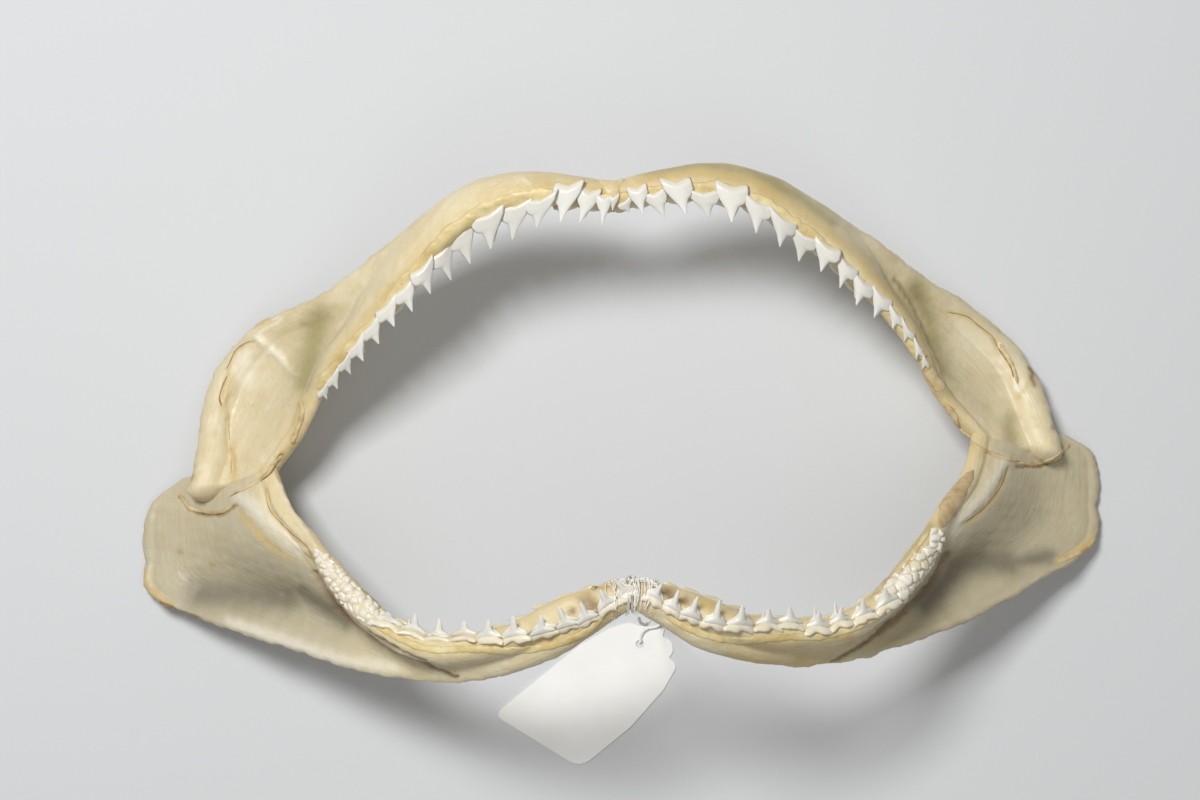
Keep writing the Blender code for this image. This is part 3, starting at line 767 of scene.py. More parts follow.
# Marks on the side toward the camera, by pixel of the photograph:
# (what it paints, reach in pixels, rise in millimetres, path).
MARKS = {
    "upper_jaw_left": (
        ("ochre", 2.0, -0.35, LEFT_BROW),
        ("ochre", 2.6, -0.5, ((227, 376), (222, 388), (220, 398), (222, 406))),
        ("ochre", 4.5, 0.5, ((230, 374), (226, 388), (223, 402))),
        ("ochre", 1.6, -0.2, ((229, 414), (228, 420))),
        ("pale", 1.6, 0.25, ((282, 318), (270, 326), (258, 334))),
        ("pale", 1.2, 0.2, ((278, 316), (266, 324), (254, 331))),
        ("ochre", 5, 0.3, ((258, 325), (268, 320))),
        ("pale", 3.5, 0.9, ((256, 337), (276, 354), (294, 374))),
        # Painted highlight on a raised bump.
        ("pale", 9, 0.2, ((246, 356), (246, 378))),
        ("none", 3, -0.9, ((229, 400), (229, 430), (231, 470))),
        ("ochre", 4, 0, ((214, 432),)),
        ("ochre", 4, 0, ((232, 450), (234, 470), (234, 488))),
        ("umber", 4, 0.2, ((190, 466), (191, 478))),
        ("ochre", 6, 0.3, ((304, 402), (300, 418), (296, 434), (290, 446))),
        # Painted shade in the hollow behind the tooth bar, with a dent.
        ("olive", 14, -0.8, ((318, 318), (308, 350), (304, 384))),
        ("umber", 1.8, -0.8, ((281, 456), (270, 474), (254, 484), (238, 492), (230, 496))),
        ("ochre", 3.5, 0, ((274, 467),)),
        ("ochre", 5, 0, ((284, 452), (270, 470), (254, 480), (240, 487))),
        ("ochre", 7, 0.2, ((470, 214), (430, 250), (396, 286), (350, 336), (322, 384))),
        ("ochre", 10, 0.4, ((492, 204), (520, 192), (548, 186))),
        ("pale", 3, 0.7, ((524, 180), (532, 183))),
        ("ochre", 9, -0.8, ((600, 190), (622, 188))),
    ),
    "upper_jaw_right": (
        # Painted shade in the hollow behind the tooth bar, with a dent.
        ("olive", 12, -1.2, ((918, 290), (930, 322), (938, 350), (946, 372))),
        ("ochre", 1.8, -0.25, RIGHT_BROW),
        ("ochre", 2.6, -0.5, ((996, 342), (1004, 354), (1012, 368))),
        ("pale", 2.5, 0.7, ((1001, 346), (1014, 370), (1016, 390))),
        ("ochre", 2.6, 0.2, ((1030, 378), (1024, 390), (1018, 398))),
        ("umber", 3, 0, ((1030, 368), (1034, 384))),
        ("umber", 3, 0, ((1052, 428),)),
        ("olive", 8, -0.3, ((1010, 420), (1012, 444))),
        ("olive", 11, -0.3, ((928, 370), (936, 384), (944, 392))),
        ("pale", 3, 0.3, ((942, 382),)),
        ("ochre", 7, 0.5, ((946, 406), (956, 418), (960, 440), (970, 446))),
        ("umber", 1.8, -0.7, RIGHT_SEAM),
        ("ochre", 6, 0, ((962, 436), (976, 445), (992, 452), (1008, 456), (1024, 461))),
        # Painted shade along the trough beside the tooth row, with a dent.
        ("olive", 3.0, -0.8, ((896, 280), (910, 298), (924, 320), (932, 340), (940, 360))),
        ("ochre", 8, 0.2, ((640, 180), (700, 172), (750, 182), (800, 212), (850, 250), (892, 296))),
        ("ochre", 7, 0.2, ((892, 296), (920, 336), (934, 362))),
        ("olive", 8, 0, ((650, 172), (700, 165), (750, 173), (800, 198), (832, 222))),
    ),
    "lower_jaw_left": (
        ("umber", 1.6, -0.6, ((180, 498), (190, 510), (205, 515), (222, 515), (237, 505))),
        # The next two marks are painted shade in the valley of the flange, with a dent.
        ("valley_shade", 17, -1.0, ((200, 592), (237, 594), (285, 598))),
        ("valley_shade", 9, -0.4, ((300, 592), (345, 622))),
        ("pale", 3, 0, ((280, 595),)),
        # Painted highlight on the flange's lower rim, where it turns up to face the light.
        ("pale", 7, 0.2, ((230, 622), (290, 642), (342, 660), (395, 668))),
        ("pale", 9, 0.9, ((240, 497), (272, 524), (305, 550))),
        # Yellow-brown tint with painted shade under the ridge.
        ("ochre", 3.5, -0.2, ((240, 512), (255, 530), (272, 547), (290, 560))),
        ("ochre", 2.4, -0.8, LEFT_FLANGE),
        ("pale", 3, 0.8, ((274, 475), (290, 508), (315, 545))),
        ("olive", 3, 0, ((180, 552),)),
        ("olive", 3, 0, ((212, 565),)),
        ("ochre", 5, 0.2, ((146, 574), (150, 590), (170, 607))),
        ("umber", 1.6, 0, ((160, 601), (176, 610), (205, 620))),
        # The next two marks are the painted shadow under the overhanging tooth band, in umber,
        # along a dent.
        ("umber", 3.2, -1.6, ((316, 574), (334, 606), (360, 630), (396, 650))),
        ("umber", 1.7, -0.6, ((396, 650), (424, 662), (444, 672), (458, 677))),
        ("umber", 8, -1.2, ((586, 600), (592, 606))),
        ("umber", 5, -0.8, ((572, 612),)),
        ("ochre", 7, 0.1, ((490, 648), (530, 644), (590, 628), (614, 610))),
        ("olive", 7, -0.3, ((612, 580), (604, 584))),
    ),
    "lower_jaw_right": (
        ("umber", 1.6, -0.6, ((1018, 466), (1040, 467), (1057, 459), (1069, 446))),
        ("ochre", 3.5, 0.2, ((1096, 534), (1076, 553), (1058, 560))),
        # The next three marks are painted shade in the valley of the flange, with dents.
        ("valley_shade", 14, -0.9, ((956, 568), (985, 561), (1012, 563))),
        ("valley_shade", 9, -0.3, ((1012, 562), (1050, 556))),
        ("valley_shade", 11, -0.4, ((954, 572), (925, 604))),
        ("pale", 7, 0.9, ((1004, 462), (984, 496), (956, 522), (950, 530))),
        ("ochre", 3, -0.4, ((1008, 470), (998, 492), (980, 514), (966, 524))),
        # The next two marks are the painted shadow under the overhanging tooth band, in umber,
        # along a dent.
        ("umber", 3.2, -1.6, ((948, 554), (932, 584), (906, 611), (880, 631))),
        ("umber", 2.0, -0.7, ((880, 631), (856, 648), (832, 663))),
        ("umber", 8, -1.2, ((668, 590), (672, 596))),
        ("umber", 6, -1.0, ((686, 600),)),
        ("ochre", 9, -0.6, ((704, 600), (712, 606))),
        ("ochre", 6, 0.1, ((676, 620), (720, 640), (780, 648), (850, 636))),
        ("ochre", 9, 0, ((730, 656), (780, 664), (830, 660))),
        ("olive", 5, 0.1, ((930, 526), (900, 566), (870, 596))),
    ),
}


def symphysis_dip(x, u):
    """How far the upper jaw's back dips, near its middle and toward its back edge."""
    return SYMPHYSIS_DIP * np.exp(-np.abs(x / 8) ** 1.4) * np.clip(u * 1.3 - 0.2, 0, 1)


def cartilage_points(jaw, v, turn):
    """The skin of a half, from the symphysis at v 0 to the rounded end at v 1."""
    u = across_at(turn)
    facing = np.where(turn <= math.pi, 1.0, -1.0)
    start = np.clip(1 - v / CAP_SHARE, 0, 1) * math.pi / 2
    end = np.clip((v - 1 + CAP_SHARE) / CAP_SHARE, 0, 1) * math.pi / 2
    first = SYMPHYSIS_ROUND / SYMPHYSIS_LENGTH
    share = first + np.clip((v - CAP_SHARE) / (1 - 2 * CAP_SHARE), 0, 1) * (1 - first)
    slim = np.cos(start) ** 0.7 * np.cos(end)
    points = jaw.place(share, u, facing, swell=slim)
    gap = SYMPHYSIS_GAP / 2 * jaw.sign
    meeting = np.sin(start) * (start > 0)
    points[:, 0] = points[:, 0] * (1 - meeting) + gap * meeting
    past = end > 0
    if past.any():
        tooth, outer = jaw.edges(share[past])
        tooth_back, outer_back = jaw.edges(share[past] - END_STEP)
        u_past = u[past]
        ahead = (tooth - tooth_back) * (1 - u_past)[:, None]
        ahead += (outer - outer_back) * u_past[:, None]
        ahead[:, 0] *= jaw.sign
        width = np.linalg.norm(outer - tooth, axis=1)
        reach = END_ROUND * np.sqrt(np.maximum(0, 4 * u_past * (1 - u_past)))
        if jaw.upper:
            off = ((1 - u_past) * width - KNOB_RADIUS) / KNOB_RADIUS
            reach = np.maximum(reach, KNOB_REACH * np.sqrt(np.maximum(0, 1 - off * off)))
        points[past] += unit(ahead) * (reach * np.sin(end[past]))[:, None]
    return points, share, u, facing


def cartilage_half(kind, side):
    """One half's cartilage, with its relief and the values that its material reads."""
    jaw = JawHalf(kind, side)
    bm = painted("share", "u", "facing", *STAINS_SHADE_AND_HIGHLIGHT, "thin")
    lie = bm.loops.layers.uv.new("lie")
    ways = {}

    def place(v, turn):
        points, share, u, facing = cartilage_points(jaw, v, turn)
        ways.update(share=share, u=u, facing=facing)
        return points

    made, _, _ = lay(bm, *SKIN_GRID, place)
    for key, values in ways.items():
        paint(bm, made, key, values)
    layers = [bm.verts.layers.float[key] for key in ways]
    weld(bm)
    bm.normal_update()
    points = np.array([vert.co[:] for vert in bm.verts])
    normals = np.array([vert.normal[:] for vert in bm.verts])
    share, u, facing = (np.array([vert[layer] for vert in bm.verts]) for layer in layers)
    rise = swells(points, SKIN_SWELLS)
    pixels = seen_at(points)
    toward = np.clip(normals[:, 2] * 3, 0, 1)
    values = {key: np.zeros(len(points)) for key in STAINS_SHADE_AND_HIGHLIGHT}
    jitter = np.stack((wobble(points, 5, 11), wobble(points, 5, 12)), axis=1) * MARK_JITTER
    for paints, reach, height, path in MARKS[jaw.name]:
        gap = away_from(pixels + jitter, path) / reach
        strength = np.exp(-gap * gap) * toward
        rise += height * strength
        if paints != "none":
            values[paints] = np.maximum(values[paints], strength)
    tooth, outer = jaw.edges(share)
    outward = unit((outer - tooth) * (jaw.sign, 1, 0))
    width = np.linalg.norm(outer - tooth, axis=1)
    plate = smooth(jaw.shape["plate_half"], share)
    values["thin"] = np.clip(1.4 - plate / 3.6, 0, 1) * np.clip((share - 0.35) * 4, 0, 1)
    values["thin"] *= np.clip((u - 0.08) * 5, 0, 1) * (0.3 if jaw.upper else 1)
    values["ochre"] = np.maximum(values["ochre"], 0.5 * np.exp(-((u * width) / 5) ** 2))
    points = points + normals * rise[:, None]
    if jaw.upper:
        points[:, 1] -= symphysis_dip(points[:, 0], u)
    uneven = swells(points, EDGE_SWELLS) * u**8 * np.clip(share * 3, 0, 1)
    points += outward * uneven[:, None]
    for vert, point in zip(bm.verts, points):
        vert.co = point
    for key, numbers in values.items():
        paint(bm, bm.verts, key, numbers)
    sheet = np.stack((share * SHEET_SIZE[0], u * facing * SHEET_SIZE[1]), axis=1)
    bm.verts.index_update()
    for face in bm.faces:
        for loop in face.loops:
            loop[lie].uv = sheet[loop.vert.index]
    halves[jaw.name] = jaw
    skin_trees[jaw.name] = [BVHTree.FromBMesh(bm)]
    finish_piece(bm, f"{jaw.name}_cartilage", cartilage, replaced=(jaw.name,))


halves = {}
skin_trees = {}
for kind in ("upper", "lower"):
    for side in SIDES:
        cartilage_half(kind, side)

# ---------------------------------------------------------------- laid on the skin by pixel

EYE = np.array((0.0, 0.0, REFERENCE_HEIGHT + CAMERA_DISTANCE))
MISSED_HEIGHTS = range(4, 136, 6)  # mm, tried where a ray passes the edge of the skin
RIBBON_COLUMNS = 16  # for each corner of its path


def level_with(pixel, height):
    """The point at this height that the camera sees at a pixel."""
    right = (pixel[0] - PHOTO_MIDDLE[0]) * PIXEL_SIZE
    up = (PHOTO_MIDDLE[1] - pixel[1]) * PIXEL_SIZE
    x = right * math.cos(PHOTO_TURN) + up * math.sin(PHOTO_TURN)
    y = up * math.cos(PHOTO_TURN) - right * math.sin(PHOTO_TURN)
    return EYE + (np.array((x, y, REFERENCE_HEIGHT)) - EYE) * (EYE[2] - height) / CAMERA_DISTANCE


def on_skin(names, pixels):
    """Where the camera sees these pixels on the named halves, and the way the skin faces."""
    trees = [tree for name in names for tree in skin_trees[name]]
    points = []
    facings = []
    for pixel in pixels:
        ray = Vector(level_with(pixel, 0) - EYE).normalized()
        hits = [tree.ray_cast(Vector(EYE), ray) for tree in trees]
        hits = [hit for hit in hits if hit[0] is not None]
        if not hits:
            hits = [trees[0].find_nearest(Vector(level_with(pixel, z))) for z in MISSED_HEIGHTS]
        point, facing, _, _ = min(hits, key=lambda found: found[3])
        points.append(point[:])
        facings.append(facing[:])
    return np.array(points), np.array(facings)


def ribbon(bm, names, path, reach, rise, seed, columns, rows):
    """A strip laid over the skin along a path of pixels, and closed underneath.

    reach is its half width in pixels, as a number or a table along it, and rise its height.
    """
    corners = np.array(path, float)
    walked = walk(corners)
    table = np.column_stack((walked / walked[-1], corners))
    uneven = np.random.default_rng(seed).uniform(0, 6, 4)

    def place(v, turn):
        middle = smooth(table, v)
        ahead = unit(smooth(table, v + 0.01) - smooth(table, v - 0.01))
        aside = np.stack((-ahead[:, 1], ahead[:, 0]), axis=1)
        half = smooth(reach, v) if isinstance(reach, tuple) else np.full(len(v), float(reach))
        step = v * walked[-1]
        ragged = 0.16 * np.sin(step / 3.1 + uneven[0]) + 0.12 * np.sin(step / 1.3 + uneven[1])
        half = half * (1 + ragged / (1 + half / 5))
        shut = closing(v, 0.07)
        pixels = middle + aside * (half * np.cos(turn) * shut)[:, None]
        points, facings = on_skin(names, pixels)
        up = top_side(turn) ** 0.6
        height = rise * up * (1 + 0.2 * np.sin(step / 2.3 + uneven[2]))
        sunk = 0.35 * under_side(turn)
        return points + facings * ((height - sunk) * shut)[:, None]

    lay(bm, columns, rows, place)


def ribbons(name, finish, strips, rows=10):
    """One piece of several strips: (jaw, path, reach, rise), as ribbon takes them."""
    bm = bmesh.new()
    for number, (jaw, path, reach, rise) in enumerate(strips):
        side = jaw.split("_")[-1]
        both = (jaw, f"lower_jaw_{side}" if jaw.startswith("upper") else f"upper_jaw_{side}")
        columns = RIBBON_COLUMNS * len(path)
        ribbon(bm, both, path, reach, rise, number + len(name), columns, rows)
    weld(bm)
    finish_piece(bm, name, finish)


# ---------------------------------------------------------------- gums and worn rear teeth

GUM_NEAR = 1.0  # mm over the brink
GUM_FAR = ((0, 9.5), (0.1, 10.5), (0.3, 10.0), (0.6, 8.0), (0.76, 5.5), (1, 4.0))
GUM_MIDDLE = 5.0  # mm over the brink
GUM_RISE = 0.85
GUM_LENGTH = 0.77  # of the half
GUM_START = 0.004
GUM_GRID = (420, 30)


def gum_band(side):
    """The dried gum that the upper crowns stand on."""
    jaw = halves[f"upper_jaw_{side}"]
    bm = painted("umber")

    def place(v, turn):
        share = GUM_START + v * GUM_LENGTH
        spot = jaw.over_brink(share, GUM_MIDDLE)
        shut = closing(v, 0.004, 0.02)
        far = smooth(GUM_FAR, share) + 0.8 * wobble(spot, 18, 22) + 0.45 * wobble(spot, 5.5, 23)
        inset = GUM_NEAR + (far - GUM_NEAR) * across_at(turn)
        top = top_side(turn)
        folds = np.sin(inset * 1.5 + 1.6 * wobble(spot, 9, 25)) * top * 0.14
        rise = GUM_RISE * top**0.55 + folds + 0.16 * wobble(spot + inset[:, None], 3.0, 24) * top
        rise = (rise - 0.8 * under_side(turn)) * shut - 0.1
        return jaw.over_brink(share, inset, rise)

    made, _, turn = lay(bm, *GUM_GRID, place)
    paint(bm, made, "umber", 0.55 * np.exp(-(((across_at(turn) - 1) / 0.03) ** 2)))
    weld(bm)
    skin_trees[jaw.name].append(BVHTree.FromBMesh(bm))
    finish_piece(bm, f"gum_band_{side}", gum)


BRIDGE_HALF = 5.4  # mm either side of the middle
BRIDGE_REACH = (-1.0, 28.0)  # mm over the brink
BRIDGE_START = 0.002  # share of the half, where its middle follows the skin
BRIDGE_GRID = (70, 30)


def symphysis_bridge():
    """Dried tissue drawn across the front of the upper jaw, where its halves meet."""
    jaw = halves["upper_jaw_right"]
    bm = painted("ochre")

    def place(v, turn):
        shut = closing(v, 0.12)
        inset = BRIDGE_REACH[0] + (BRIDGE_REACH[1] - BRIDGE_REACH[0]) * v
        across = np.cos(turn) * BRIDGE_HALF * (0.7 + 0.3 * shut) * (0.75 + 0.25 * np.cos(v * 9))
        top = top_side(turn)
        rise = (0.75 * top + 0.4) * shut - 0.45 - 0.5 * under_side(turn)
        share = np.abs(across) / HALF_LENGTH + BRIDGE_START
        points = jaw.over_brink(share, inset, rise)
        points[:, 0] = across
        points[:, 1] -= symphysis_dip(points[:, 0], across_at(jaw.turn_at(share, inset)))
        uneven = (0 * v, 0.25 * wobble(points, 4, 51), 0.2 * wobble(points, 5, 52))
        return points + np.stack(uneven, axis=1)

    made, v, _ = lay(bm, *BRIDGE_GRID, place)
    paint(bm, made, "ochre", 0.75 * np.clip(1.4 - 2 * v, 0, 1))
    weld(bm)
    tree = BVHTree.FromBMesh(bm)
    for side in SIDES:
        skin_trees[f"upper_jaw_{side}"].append(tree)
    finish_piece(bm, "symphysis_gum", cartilage)


# The middle line of each band of worn teeth as the camera sees it, and its half width, in mm.
WORN_PATH = {
    "left": ((315, 548), (329, 571), (343, 588), (359, 603), (374, 614), (388, 622)),
    "right": ((938, 527), (938, 546), (926, 565), (908, 583), (893, 597), (878, 608)),
}
WORN_REACH = {
    "left": ((0, 1.5), (0.12, 3.4), (0.35, 5.4), (0.7, 6.0), (1, 4.4)),
    "right": ((0, 2.4), (0.15, 5.4), (0.4, 6.8), (0.7, 6.4), (1, 4.0)),
}
WORN_CELL = {"left": 3.5, "right": 4.4}  # mm, the size of the worn crowns
WORN_RISE = 1.0
WORN_GRID = (230, 84)
# Where address looks: (from, to, steps) of the share, and of the distance over the brink.
WORN_SHARES = (0.4, 1, 241)
WORN_INSETS = (-2, 18, 81)


def cell_gaps(places, size, seed):
    """A pavement of cells: (how far from the nearest gap, tilt, which cell) at each place."""
    chance = np.random.default_rng(seed)
    low = np.floor(places.min(axis=0) / size).astype(int) - 1
    high = np.ceil(places.max(axis=0) / size).astype(int) + 2
    columns, rows = (range(start, end) for start, end in zip(low, high))
    spots = np.array([(x, y) for x in columns for y in rows], float)
    spots[:, 0] += (spots[:, 1] % 2) * 0.5
    spots = (spots + chance.uniform(-0.45, 0.45, spots.shape)) * size
    away = np.linalg.norm((places[:, None] - spots[None]) * (0.8, 1.1), axis=2)
    order = np.sort(away, axis=1)
    nearest = np.argmin(away, axis=1)
    slope = chance.uniform(-0.34, 0.34, (len(spots), 2))[nearest]
    tilt = chance.uniform(-0.6, 0.6, len(spots))[nearest]
    tilt += np.sum((places - spots[nearest]) * slope, axis=1)
    return order[:, 1] - order[:, 0], tilt, nearest


def address(jaw, pixels):
    """(share, distance over the brink) of the skin that the camera sees at each pixel."""
    grid = np.meshgrid(np.linspace(*WORN_SHARES), np.linspace(*WORN_INSETS))
    share, inset = (part.ravel() for part in grid)
    points = jaw.over_brink(share, inset)
    higher = 0.05 * points[:, 2]
    seen = seen_at(points)
    picks = [np.argmin(np.linalg.norm(seen - pixel, axis=1) - higher) for pixel in pixels]
    return np.stack((share[picks], inset[picks]), axis=1)


def worn_band(side):
    """The flattened, cracked rear teeth of the lower jaw, two or three to the width."""
    jaw = halves[f"lower_jaw_{side}"]
    bm = painted("gap", "root", "level")
    path = address(jaw, WORN_PATH[side])
    table = np.column_stack((np.linspace(0, 1, len(path)), path))
    kept = {}

    def place(v, turn):
        share, inset = smooth(table, v).T
        line = jaw.over_brink(share, inset)
        ragged = 1 + 0.14 * wobble(line, 7, 61) + 0.1 * wobble(line + turn[:, None], 3.5, 62)
        shut = closing(v, 0.06)
        across = smooth(WORN_REACH[side], v) * ragged * np.cos(turn) * shut
        spots = np.stack((share * HALF_LENGTH, inset + across), axis=1)
        gaps, tilt, cell = cell_gaps(spots, WORN_CELL[side], 33 + len(side))
        up = top_side(turn) ** 0.6
        kept["gap"] = 0.4 * np.exp(-((gaps / 0.25) ** 2)) * (up > 0.2)
        kept["root"] = np.random.default_rng(5).uniform(0, 0.6, cell.max() + 1)[cell]
        kept["level"] = np.full(len(v), 0.5)
        crowned = 1.05 * (1 - np.exp(-((gaps / 0.8) ** 2)))
        relief = (crowned + 0.75 * tilt + 0.12 * wobble(line, 1.6, 63)) * up
        rise = WORN_RISE * up + relief - 0.4 - 0.5 * under_side(turn)
        return jaw.over_brink(share, inset + across, rise * shut - 0.1)

    made, _, _ = lay(bm, *WORN_GRID, place)
    for key, values in kept.items():
        paint(bm, made, key, values)
    weld(bm)
    finish_piece(bm, f"worn_teeth_{side}", worn_bone)


for side in SIDES:
    gum_band(side)
    worn_band(side)
symphysis_bridge()

# ---------------------------------------------------------------- cracks and scraps

CRACKS = (
    ("upper_jaw_left", LEFT_BROW, 0.45, 0.05),
    ("upper_jaw_left", ((227, 376), (222, 388), (219.6, 398), (221.6, 406)), 0.8, 0.06),
    ("upper_jaw_left", ((229, 412), (229, 430), (231, 452), (231, 474)), 0.3, 0.03),
    ("upper_jaw_left", ((281, 456), (270, 474), (254, 484), (238, 492), (229, 497)), 0.8, 0.08),
    ("upper_jaw_right", RIGHT_BROW, 0.4, 0.04),
    ("upper_jaw_right", ((998, 348), (1005, 358), (1011, 368), (1014, 378)), 0.8, 0.06),
    ("upper_jaw_right", RIGHT_SEAM, 0.8, 0.06),
    ("lower_jaw_left", ((182, 499), (191, 509), (205, 514), (222, 514), (236, 504)), 0.5, 0.05),
    ("lower_jaw_left", LEFT_FLANGE, 0.4, 0.04),
    ("lower_jaw_right", ((1020, 467), (1040, 467), (1056, 459), (1068, 447)), 0.5, 0.05),
    ("lower_jaw_right", ((1008, 466), (1001, 486), (984, 508), (966, 522)), 0.45, 0.05),
)
TISSUE = (
    ("upper_jaw_left", ((300, 400), (302, 414), (298, 428), (291, 444)), 2.6, 0.6),
    ("upper_jaw_right", ((925, 366), (934, 379), (942, 390)), 6.0, 0.25),
    ("upper_jaw_right", ((945, 405), (955, 417), (959, 438), (968, 446)), 3.2, 0.8),
    ("lower_jaw_left", ((344, 575), (362, 592), (382, 607), (400, 618)), 2.2, 0.5),
    ("lower_jaw_left", ((592, 590), (598, 583), (606, 580), (612, 582)), 3.0, 0.7),
    ("lower_jaw_right", ((930, 530), (914, 552), (894, 575), (872, 593)), 2.4, 0.5),
    ("lower_jaw_right", ((1096, 540), (1084, 550), (1070, 557), (1058, 562)), 2.2, 0.3),
    ("upper_jaw_left", ((282, 455), (274, 465), (262, 478), (248, 487), (234, 492)), 1.7, 0.45),
    ("upper_jaw_right", ((1000, 344), (1008, 356), (1014, 368), (1018, 384)), 1.5, 0.5),
    ("upper_jaw_right", ((966, 439), (980, 448), (998, 456), (1018, 461)), 1.8, 0.45),
    ("lower_jaw_left", ((180, 496), (190, 508), (205, 512), (222, 512), (235, 503)), 1.6, 0.4),
    ("lower_jaw_right", ((1018, 463), (1038, 464), (1056, 457), (1069, 444)), 1.7, 0.4),
)
MEMBRANE_REACH = ((0, 2), (0.25, 6.5), (0.6, 9.5), (0.85, 7), (1, 3))  # pixels
MEMBRANE = (
    ("lower_jaw_right", ((974, 470), (961, 488), (949, 508), (940, 528)), MEMBRANE_REACH, 0.35),
)
ROOT_GUM = (
    (
        "lower_jaw_left",
        (
            (607, 612), (588, 631), (564, 642), (541, 648), (515, 651), (489, 650),
            (463, 649), (438, 650), (414, 645), (388, 632), (372, 622),
        ),
        3.6,
        0.35,
    ),
    (
        "lower_jaw_right",
        (
            (662, 612), (676, 622), (694, 631), (717, 638), (742, 641), (768, 639),
            (792, 637), (818, 637), (841, 632), (864, 624), (882, 614),
        ),
        3.6,
        0.35,
    ),
)
ribbons("shrinkage_cracks", crack_brown, CRACKS)
ribbons("dried_tissue", scraps, TISSUE)
ribbons("dried_membrane", membrane, MEMBRANE, 26)
ribbons("lower_gum", gum, ROOT_GUM)


# ---------------------------------------------------------------- upper teeth

# Where the camera sees the upper crowns, from the symphysis back: the middle of the top edge,
# then the tip.
UPPER_CROWNS = {
    "left": (
        ((613.5, 199), (612.5, 211)),
        ((604, 201), (602, 225.6)),
        ((588, 197), (579.6, 223.6)),
        ((567, 192), (560.6, 223)),
        ((540, 203), (536.6, 229)),
        ((517, 213), (513, 240.5)),
        ((490, 224), (491, 250)),
        ((465, 240), (471, 264.4)),
        ((446, 257), (451.4, 281)),
        ((423, 271), (430.6, 294.4)),
        ((405, 291), (412.6, 312.6)),
        ((387, 309), (394.8, 326.6)),
        ((371, 328), (379, 344.4)),
        ((356.4, 346), (364, 361)),
        ((344.4, 362), (350.8, 374.6)),
        ((333, 377), (338, 388.6)),
        ((323, 390), (327, 399.6)),
    ),
    "right": (
        ((625.5, 203), (629.4, 212.4)),
        ((638, 193), (643.2, 214.6)),
        ((655, 197), (664.8, 217.8)),
        ((678, 188), (686, 215)),
        ((704, 196), (709, 217.8)),
        ((732, 193), (731.6, 222.8)),
        ((758, 206), (756, 233.8)),
        ((783, 222), (779, 247.4)),
        ((804, 238), (798.6, 262)),
        ((827, 250), (820.6, 272)),
        ((847, 267), (839.6, 288.6)),
        ((863, 285), (855.6, 305.4)),
        ((882, 299), (874, 318)),
        ((896, 315), (892, 328.6)),
        ((908, 330), (904, 342)),
        ((918, 346), (915.6, 359)),
        ((925.6, 360), (922.4, 370)),
    ),
}
CROWN_OVERLAP = 1.2  # crown width as a share of the spacing
CROWN_FORWARD = (-0.35, 0.45)  # mm, how far the even and the odd crowns stand forward
CROWN_GRID = (30, 12)
NEXT_CROWN_GRID = (16, 8)
NEXT_CROWN_SIZE = (0.95, 0.86)  # width and height, as shares of the crown in front of it
NEXT_CROWN_DROP = 3.4  # mm that it stands lower
SPARE_CROWN_GRID = (14, 8)
SPARE_CROWN_SIZE = (0.85, 0.08)  # share of the front crown, and what each row loses of it
FOLDED_LEAN = 0.25  # how steeply a folded tooth's tip leaves the bar
FOLDED_LIFT = 1.1  # mm that it lies off the bar
FOOT_SHARE = 0.14  # of a tooth's rings, that close it under its broad end
ROOT_SHARE = 0.12  # of its rings, that have the root's colour
CROWN_LINE = 5.0  # mm over the brink, the line that the crowns' places are found along
FINE_STEPS = 501  # places tried along it
UPPER_SEED = 100
LOWER_SEED = 300
LEFT_SEED = 50  # added on the left
TIP_DROP = 1.5  # mm down from the top edge to the tip
CROWN_STAND = 0.8  # mm, of the crown's middle over the gum
# Half widths of an upper crown on its near and far side: (level, front tooth, rear tooth), as
# shares of its width.
MESIAL_EDGE = (
    (0, 0.5, 0.5),
    (0.13, 0.5, 0.47),
    (0.3, 0.36, 0.33),
    (0.6, 0.17, 0.15),
    (1, 0.01, 0.01),
)
DISTAL_EDGE = (
    (0, 0.5, 0.5),
    (0.14, 0.5, 0.52),
    (0.26, 0.38, 0.44),
    (0.4, 0.23, 0.17),
    (0.6, 0.14, 0.11),
    (1, 0.01, 0.01),
)
# How far the younger crowns lie behind the brink, in mm.
UPPER_SPARE_ROWS = (3.5, 7.5, 11.0)
LOWER_SPARE_ROWS = (4.0, 8.0, 12.0)
SPARE_LAST = 12  # upper crowns; farther back the bar is too thin to carry them


def crown_shape(width, height, slant, corners, seed):
    """An upper crown: x away from the symphysis, y to the tip, z to the front."""
    chance = np.random.default_rng(seed)
    notch = chance.uniform(-0.03, 0.03)
    thick = min(3.2, 0.32 * width)

    def place(v, turn):
        level = np.interp(v, (0, 0.04, FOOT_SHARE, 1), (-0.2, -0.2, 0, 1))
        edges = []
        for table in (MESIAL_EDGE, DISTAL_EDGE):
            table = np.array(table)
            front = np.interp(level, table[:, 0], table[:, 1])
            rear = np.interp(level + notch, table[:, 0], table[:, 2])
            edges.append((front * (1 - slant) + rear * slant) * width)
        ring = np.round(v * CROWN_GRID[0])
        saw = np.where((level > 0.08) & (level < 0.96), np.where(ring % 2 == 0, 0.08, -0.05), 0)
        shut = np.clip(v / 0.04, 0, 1) * (v < 0.9999)
        middle = (edges[1] - edges[0]) / 2
        half = (edges[1] + edges[0]) / 2 + saw
        x = middle + half * np.cos(turn) * shut
        lens = np.sin(turn) * np.abs(np.sin(turn)) ** 0.5
        deep = np.interp(level, (-0.2, -0.04, 0, 0.3, 0.7, 1), (0.3, 0.8, 1, 0.72, 0.4, 0.08))
        deep = thick / 2 * deep * shut
        z = lens * deep * np.where(lens > 0, 0.75, 1.2)
        corner = np.abs(x / (width / 2)) ** 1.3 * np.clip(1 - level / 0.3, 0, 1)
        y = level * height - corners * corner
        foot = 1.4 * np.clip(-level / 0.2, 0, 1)
        z = z - 0.6 * corner - foot + 0.04 * height * np.clip(level, 0, 1) ** 2
        return np.stack((x, y, z), axis=1)

    return place


